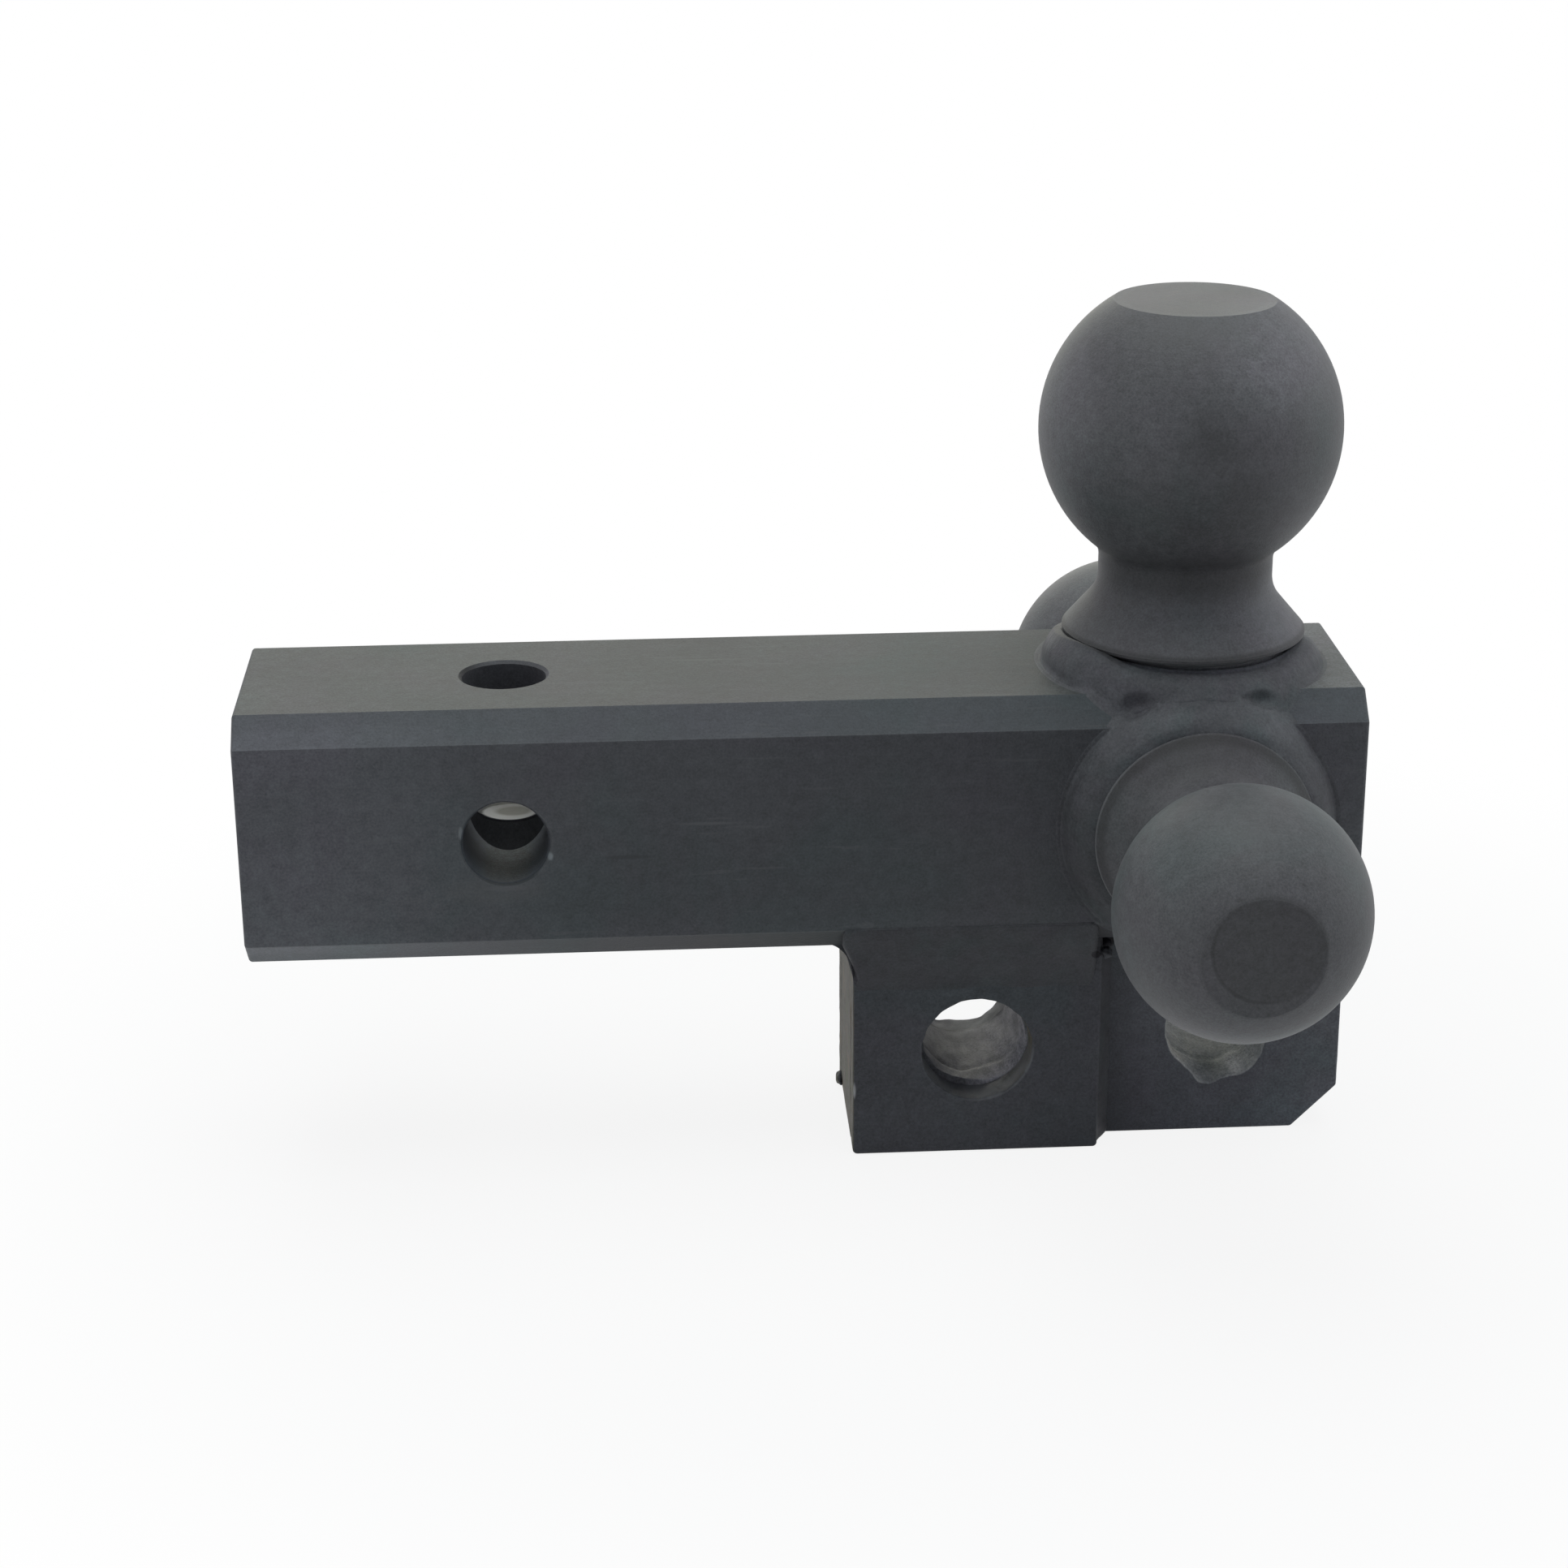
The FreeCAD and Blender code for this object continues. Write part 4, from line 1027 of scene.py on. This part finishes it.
def score_near_flat(nodes, colour, position, centred, up_the_axis):
    """The near ball's whole flat is darker than the ball, and a line is scored round its disc."""
    colour = nodes.faded(colour, up_the_axis, *NEAR_FLAT, 1.0, 0.82)
    centre, radius, _ = FLAT_DISCS["left"]
    within = nodes.spot(position, centre, (radius - 0.45,) * 3, 0.02)
    lower_left = nodes.vector("DOT_PRODUCT", centred, (-0.8, 0.0, -0.6))
    scored = nodes.product(nodes.spot(position, centre, (radius + 0.2,) * 3, 0.02),
                           nodes.calc("SUBTRACT", 1.0, within),
                           nodes.ramp(lower_left, -1.0, 6.0))
    return nodes.toned(colour, scored, -0.30)


def shade_and_light_top_collar(nodes, colour, up_the_axis):
    """Painted shade along the top collar's lowest edge, and painted light on its underside."""
    rim = COLLAR_RIM
    darker_part = nodes.product(nodes.ramp(up_the_axis, rim + 1.0, rim + 0.3),
                         nodes.ramp(up_the_axis, rim - 4.0, rim - 2.0))
    colour = nodes.toned(colour, darker_part, -0.48)
    return nodes.faded(colour, up_the_axis, rim - 0.5, rim - 0.9, 1.0, 2.4)


def shade_and_highlight_side_collar(nodes, colour, position, centred, up_the_axis):
    """Painted shade inside a side ball's rim, and a painted highlight along the rim towards the
    front.
    """
    rim = COLLAR_RIM
    darker_part = nodes.product(nodes.ramp(up_the_axis, rim + 0.05, rim + 0.3),
                         nodes.ramp(up_the_axis, rim + 2.2, rim + 0.9))
    colour = nodes.toned(colour, darker_part, -0.46)
    rearward = nodes.vector("DOT_PRODUCT", centred, tuple(ALONG))
    highlight_break_up = nodes.place(SMUDGES, {"Position": position, "Patch Size": 5.0})
    rim_highlight = nodes.product(nodes.ramp(up_the_axis, rim + 0.25, rim + 0.05),
                         nodes.ramp(rearward, -7.0, -16.0),
                         nodes.ramp(up_the_axis, rim - 0.6, rim - 0.4),
                         nodes.calc("MULTIPLY_ADD", highlight_break_up["Dark"], -0.45, 0.55))
    return nodes.mix(rim_highlight, colour, (0.175, 0.18, 0.185))


def make_ball_material(ball):
    """Charcoal over turned steel, with turning marks round the ball's own axis."""
    out = tuple(RINGS[ball].out)
    material, nodes, position = new_material("Charcoal over turned %s ball" % ball, 0.3)
    colour, tone, height = charcoal(
        nodes, position, (0.089, 0.091, 0.096), (0.103, 0.106, 0.110), 0.45, 1.55, 22.0, 0.45)
    centred = nodes.vector("SUBTRACT", position, (BALL_STATION, 0, 0))
    up_the_axis = nodes.vector("DOT_PRODUCT", centred, out)
    off_axis = nodes.vector("LENGTH", nodes.vector("CROSS_PRODUCT", centred, out))
    turned = nodes.place(DRAWN_MARKS, {
        "Position": nodes.join(off_axis, up_the_axis, 0.0), "Stretch": (1.4, 1.4, 1.0),
        "Threshold": 0.66})
    colour = nodes.toned(colour, turned["Streak"], 0.10)
    for centre, radii, paler in BALL_LIGHT_AND_SHADE[ball]:
        colour = nodes.toned(colour, nodes.spot(position, centre, radii, 0.8), paler)
    centre, radius, darker = FLAT_DISCS[ball]
    colour = nodes.toned(colour, nodes.spot(position, centre, (radius,) * 3, 0.035), -darker)
    # Rubbed edges; along the top collar's rim they are also a painted highlight, and on the side
    # balls they are kept off the rim
    rub_and_highlight = 0.55
    if ball == "left":
        colour = score_near_flat(nodes, colour, position, centred, up_the_axis)
    if ball != "top":
        rub_and_highlight = nodes.ramp(up_the_axis, COLLAR_RIM + 0.6, COLLAR_RIM + 1.4, 0.0, rub_and_highlight)
    colour = rub_edges_and_highlight(nodes, colour, position, 0.35, rub_and_highlight, (0.17, 0.175, 0.18))
    if ball == "top":
        colour = shade_and_light_top_collar(nodes, colour, up_the_axis)
    else:
        colour = shade_and_highlight_side_collar(nodes, colour, position, centred, up_the_axis)
    height = nodes.calc("MULTIPLY_ADD", turned["Streak"], 0.5, height)
    finish_material(nodes, colour, tone, height, 0.3, 0.57, 0.07)
    return material


# Patches on the rear hole's wall: centre, radii and colour
REAR_WALL_PATCHES = [
    ((REAR_HOLE.x + 4.6, -9.5, -58.0), (1.4, 4.5, 3.2), (0.95, 0.94, 0.90)),
    ((REAR_HOLE.x - 0.2, -7.0, -59.0), (2.4, 3.5, 2.6), (0.30, 0.32, 0.30)),
    ((REAR_HOLE.x - 8.0, -9.0, -54.5), (3.0, 5.0, 4.0), (0.66, 0.64, 0.58)),
]


def paint_bores(nodes, colour, tone, position):
    """Bored walls of the thick plate are barer than its faces, and metal is smeared over the
    near cheek's bore, mostly low at the rear."""
    along_bar, from_middle, height_on_bar = nodes.split(position)
    depth = nodes.calc("ABSOLUTE", from_middle)
    aside, above, off_axis = {}, {}, {}
    for hole, centre in (("front", FRONT_HOLE), ("rear", REAR_HOLE)):
        aside[hole] = nodes.calc("SUBTRACT", along_bar, centre.x)
        above[hole] = nodes.calc("SUBTRACT", height_on_bar, centre.z)
        off_axis[hole] = nodes.from_axis(aside[hole], above[hole])
    inside = [nodes.ramp(off_axis[hole], LUG_HOLE_RADIUS + 2.4, LUG_HOLE_RADIUS + 2.2)
              for hole in ("front", "rear")]
    lower_rear = nodes.calc("MULTIPLY_ADD", above["front"], -0.77,
                            nodes.calc("MULTIPLY", aside["front"], 0.64))
    torn = nodes.place(SMUDGES, {"Position": position, "Patch Size": 3.5})
    smear = nodes.product(
        nodes.ramp(off_axis["front"], CHEEK_HOLE_RADIUS + 0.75, CHEEK_HOLE_RADIUS + 0.3),
        nodes.ramp(lower_rear, 6.0, 10.0, 0.0, 0.85),
        nodes.calc("MULTIPLY_ADD", torn["Dark"], -0.6, 1.0))
    colour = nodes.mix(smear, colour, (0.175, 0.178, 0.185))
    # The plate's face inside the cheek's wider bore: smeared metal and painted light over its
    # shaded corner, most low at the rear
    shelf_smear_and_fill_light = nodes.product(
        nodes.ramp(depth, PLATE_HALF + 0.06, PLATE_HALF + 0.02),
        nodes.ramp(off_axis["front"], CHEEK_HOLE_RADIUS + 0.3, CHEEK_HOLE_RADIUS),
        nodes.ramp(lower_rear, 5.5, 9.0, 0.22, 0.85))
    in_plate = nodes.ramp(depth, PLATE_HALF - 0.02, PLATE_HALF - 0.25)
    bare = nodes.product(nodes.calc("MAXIMUM", *inside), nodes.calc("MAXIMUM", in_plate, shelf_smear_and_fill_light))
    patches = nodes.place(SMUDGES, {
        "Position": nodes.vector("MULTIPLY", position, (1.0, 0.35, 1.0)), "Patch Size": 4.5})
    front_wall = nodes.mix(patches["Pale"], (0.27, 0.265, 0.28), (0.40, 0.395, 0.40))
    front_wall = nodes.mix(patches["Dark"], front_wall, (0.16, 0.158, 0.17))
    front_wall = nodes.faded(front_wall, from_middle, 3.0, 11.0, 1.0, 0.72)
    # Painted shade at the far mouth, where its rounded arris would catch the light
    front_wall = nodes.faded(front_wall, from_middle, 10.8, 12.1, 1.0, 0.4)
    front_wall = nodes.faded(front_wall, aside["front"], -9.0, 9.0, 0.74, 2.25)
    rear_wall = nodes.mix(patches["Pale"], (0.45, 0.46, 0.45), (0.60, 0.61, 0.57))
    rear_wall = nodes.mix(patches["Dark"], rear_wall, (0.36, 0.37, 0.37))
    for centre, radii, shade in REAR_WALL_PATCHES:
        patch = nodes.calc("MULTIPLY", nodes.spot(position, centre, radii, 0.6), 0.7)
        rear_wall = nodes.mix(patch, rear_wall, shade)
    in_rear = nodes.ramp(along_bar, CHEEK_REAR, CHEEK_REAR + 4.0)
    wall = nodes.toned(nodes.mix(in_rear, front_wall, rear_wall), tone, 1.9)
    return nodes.mix(bare, colour, wall)


def make_plate_material():
    """Cut plate: dark faces, paler saw-cut ends with brown stains, bare walls in the bores."""
    material, nodes, position = new_material("Charcoal over cut plate", 0.2)
    along_bar, _, height_on_bar = nodes.split(position)
    colour, tone, height = charcoal(
        nodes, position, (0.060, 0.062, 0.069), (0.073, 0.076, 0.082), 0.55, 1.6, 20.0, 0.5)
    colour = rub_edges_and_highlight(nodes, colour, position, 0.7, 0.3, (0.12, 0.125, 0.13))
    cut_end = nodes.ramp(nodes.facing(tuple(-ALONG)), 0.6, 0.85)
    stains = nodes.place(SMUDGES, {"Position": position, "Patch Size": 7.0})
    stained = nodes.mix(stains["Pale"], (0.099, 0.094, 0.083), (0.138, 0.113, 0.076))
    stained = nodes.mix(stains["Dark"], stained, (0.10, 0.105, 0.07))
    colour = nodes.mix(cut_end, colour, stained)
    # Paler behind the cheeks, most of all low at the rear
    colour = nodes.faded(colour, along_bar, 116.0, 130.0, 1.12, 1.74)
    colour = nodes.faded(colour, along_bar, 146.0, 158.0, 1.0, 1.05)
    low_rear = nodes.product(nodes.ramp(height_on_bar, -60.0, -68.0),
                             nodes.ramp(along_bar, 128.0, 138.0))
    colour = nodes.toned(colour, low_rear, 0.24)
    colour = paint_bores(nodes, colour, tone, position)
    glint = nodes.spot(position, (LUG_FRONT, -CHEEK_OUTER, LUG_BOTTOM + 14.2), (0.5, 0.4, 1.7))
    colour = nodes.mix(glint, colour, (0.4, 0.4, 0.4))
    colour = with_gap_shadows(nodes, colour, position)
    finish_material(nodes, colour, tone, height, 0.35, 0.6, 0.09)
    return material


# Painted light and shade on the beads: centre, radii and how much paler
BEAD_LIGHT_AND_SHADE = [((147.0, -29.0, 21.0), (7, 6, 6), 0.16), ((112.0, -29.0, -8.0), (6, 6, 10), -0.16)]


def make_weld_material(name, base, pale):
    """Charcoal over weld metal, paler on top of the bar than low down."""
    material, nodes, position = new_material(name, 0.2)
    colour, tone, height = charcoal(nodes, position, base, pale, 0.55, 1.4, 9.0, 0.5)
    along_bar, _, height_on_bar = nodes.split(position)
    colour = nodes.faded(colour, height_on_bar, 4.0, 24.0, 0.88, 1.22)
    for centre, radii, paler in BEAD_LIGHT_AND_SHADE:
        colour = nodes.toned(colour, nodes.spot(position, centre, radii, 0.8), paler)
    # On top of the bar: painted light in the shaded gap under the collar, sooty outside it on the
    # side of the open end
    off_axis = nodes.vector("SUBTRACT", position, (BALL_STATION, 0, 0))
    off_axis = nodes.vector("LENGTH", nodes.vector("MULTIPLY", off_axis, (1, 1, 0)))
    on_top = nodes.ramp(height_on_bar, HALF_SIDE + 2.0, HALF_SIDE + 3.0)
    colour = nodes.toned(colour, nodes.product(on_top, nodes.ramp(off_axis, 22.9, 22.2)), 1.1)
    darker_part = nodes.product(on_top, nodes.ramp(off_axis, 26.4, 24.6),
                         nodes.ramp(along_bar, 122.0, 115.0))
    colour = nodes.toned(colour, darker_part, -0.45)
    colour = with_gap_shadows(nodes, colour, position)
    finish_material(nodes, colour, tone, height, 0.35, 0.6, 0.10)
    return material


def paint(piece, material):
    """Gives every slot of a piece one material."""
    slots = piece.data.materials
    if not slots:
        slots.append(material)
    for index in range(len(slots)):
        slots[index] = material


# --- Stage, light and camera ---
FLOOR_HEIGHT = (LUG_BOTTOM - 0.2) * MM
FLOOR_REACH = 4.0
HITCH_MIDDLE = (0.09, 0.0, 0.0)
SHADOW_REACH = (0.11, 0.26)  # where the floor's shadow begins to fade, and where it has gone
LIGHTS = [
    # name, place, size, watts, colour
    ("overhead", (0.10, 0.05, 1.10), 1.10, 10.0, (0.96, 1.0, 0.98)),
    ("behind", (0.05, 1.10, 0.35), 0.80, 2.3, (1.0, 1.0, 0.80)),
    ("left", (-1.00, 0.10, 0.25), 0.70, 0.9, (1.0, 0.98, 0.95)),
    ("right", (1.20, 0.10, 0.30), 0.70, 1.8, (0.96, 1.0, 1.0)),
]


def make_floor():
    """A plain pale floor that shows white to the camera and keeps the hitch's shadow."""
    mesh = bpy.data.meshes.new("floor")
    corners = [(-1, -1), (1, -1), (1, 1), (-1, 1)]
    mesh.from_pydata([(x * FLOOR_REACH, y * FLOOR_REACH, FLOOR_HEIGHT) for x, y in corners],
                     [], [(0, 1, 2, 3)])
    floor = bpy.data.objects.new("floor", mesh)
    bpy.context.scene.collection.objects.link(floor)
    floor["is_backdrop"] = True
    material = bpy.data.materials.new("Pale floor")
    material.use_nodes = True
    mesh.materials.append(material)
    nodes = Nodes(material.node_tree)
    shader = nodes.tree.nodes["Principled BSDF"]
    for name, value in (("Base Color", (0.8, 0.8, 0.8)), ("Roughness", 0.9),
                        ("Specular IOR Level", 0.1)):
        nodes.wire(value, shader.inputs[name])
    glow = nodes.add("Emission", {"Color": (1, 1, 1), "Strength": 1.0})
    # White all over beyond the hitch's own shadow
    place = nodes.add("TexCoord").outputs["Object"]
    off = nodes.vector("SUBTRACT", place, (HITCH_MIDDLE[0], 0.0, FLOOR_HEIGHT))
    white = nodes.ramp(nodes.vector("LENGTH", off), *SHADOW_REACH, 0.88, 1.0)
    mixed = nodes.add("MixShader", {"Fac": nodes.product(nodes.seen_straight(), white)})
    nodes.wire(shader.outputs[0], mixed.inputs[1])
    nodes.wire(glow.outputs[0], mixed.inputs[2])
    nodes.wire(mixed.outputs[0], nodes.tree.nodes["Material Output"].inputs["Surface"])


def make_world():
    """Dim soft light from all round; white to the camera and in reflections."""
    world = bpy.data.worlds.new("Studio")
    bpy.context.scene.world = world
    world.use_nodes = True
    nodes = Nodes(world.node_tree)
    sky = nodes.mix(nodes.seen_straight(), (0.170, 0.178, 0.212), (1, 1, 1))
    nodes.wire(sky, nodes.tree.nodes["Background"].inputs["Color"])


def make_lights():
    for name, place, size, watts, colour in LIGHTS:
        lamp = bpy.data.lights.new(name, "AREA")
        lamp.shape = "SQUARE"
        lamp.size = size
        lamp.energy = watts
        lamp.color = colour
        holder = bpy.data.objects.new(name, lamp)
        holder.location = place
        holder.visible_camera = False
        holder.rotation_mode = "QUATERNION"
        aim = Vector(HITCH_MIDDLE) - Vector(place)
        holder.rotation_quaternion = aim.to_track_quat("-Z", "Y")
        bpy.context.scene.collection.objects.link(holder)


def make_camera():
    """The photograph's own view: place and angles found from the bar's edges."""
    data = bpy.data.cameras.new("photo_view")
    data.sensor_width = 36.0
    data.lens = 74.042
    data.clip_start, data.clip_end = 0.05, 50.0
    camera = bpy.data.objects.new("photo_view", data)
    right = Vector((0.9983746, -0.0565959, -0.0067066))
    down = Vector((-0.0263007, -0.3531345, -0.9352028))
    ahead = Vector((0.0505603, 0.9338592, -0.3540490))
    turned = Matrix((right, -down, -ahead)).transposed()
    camera.matrix_world = Matrix.Translation((0.022227, -0.598432, 0.227873)) @ turned.to_4x4()
    bpy.context.scene.collection.objects.link(camera)
    bpy.context.scene.camera = camera


# --- The scene ---
make_camera()
bpy.context.scene.view_settings.view_transform = "Standard"
make_floor()
make_world()
make_lights()

for ring_name, ring_seed in (("top", 1), ("left", 8), ("right", 15)):
    make_ring_bead(ring_name, ring_seed)
make_lug_beads()
make_plates()
make_drops()

BAR_FINISH = make_bar_material()
PLATE_FINISH = make_plate_material()
RING_FINISH = make_weld_material(
    "Charcoal over ring beads", (0.082, 0.085, 0.091), (0.100, 0.104, 0.110))
# The lug beads' copy of the weld finish is painted darker: shade against the floor's light on these
# low beads
LUG_BEAD_SHADED_FINISH = make_weld_material(
    "Charcoal over lug beads", (0.064, 0.066, 0.072), (0.080, 0.083, 0.089))
BALL_FINISH = {ball: make_ball_material(ball) for ball in RINGS}
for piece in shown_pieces():
    if piece.name == "shank_bar":
        paint(piece, BAR_FINISH)
    elif piece.name.endswith("_ball"):
        paint(piece, BALL_FINISH[piece.name.split("_")[0]])
    elif piece.name.endswith("_ring_bead"):
        paint(piece, RING_FINISH)
    elif piece.name.endswith(("_bead", "_spatter")):
        paint(piece, LUG_BEAD_SHADED_FINISH)
    else:
        paint(piece, PLATE_FINISH)
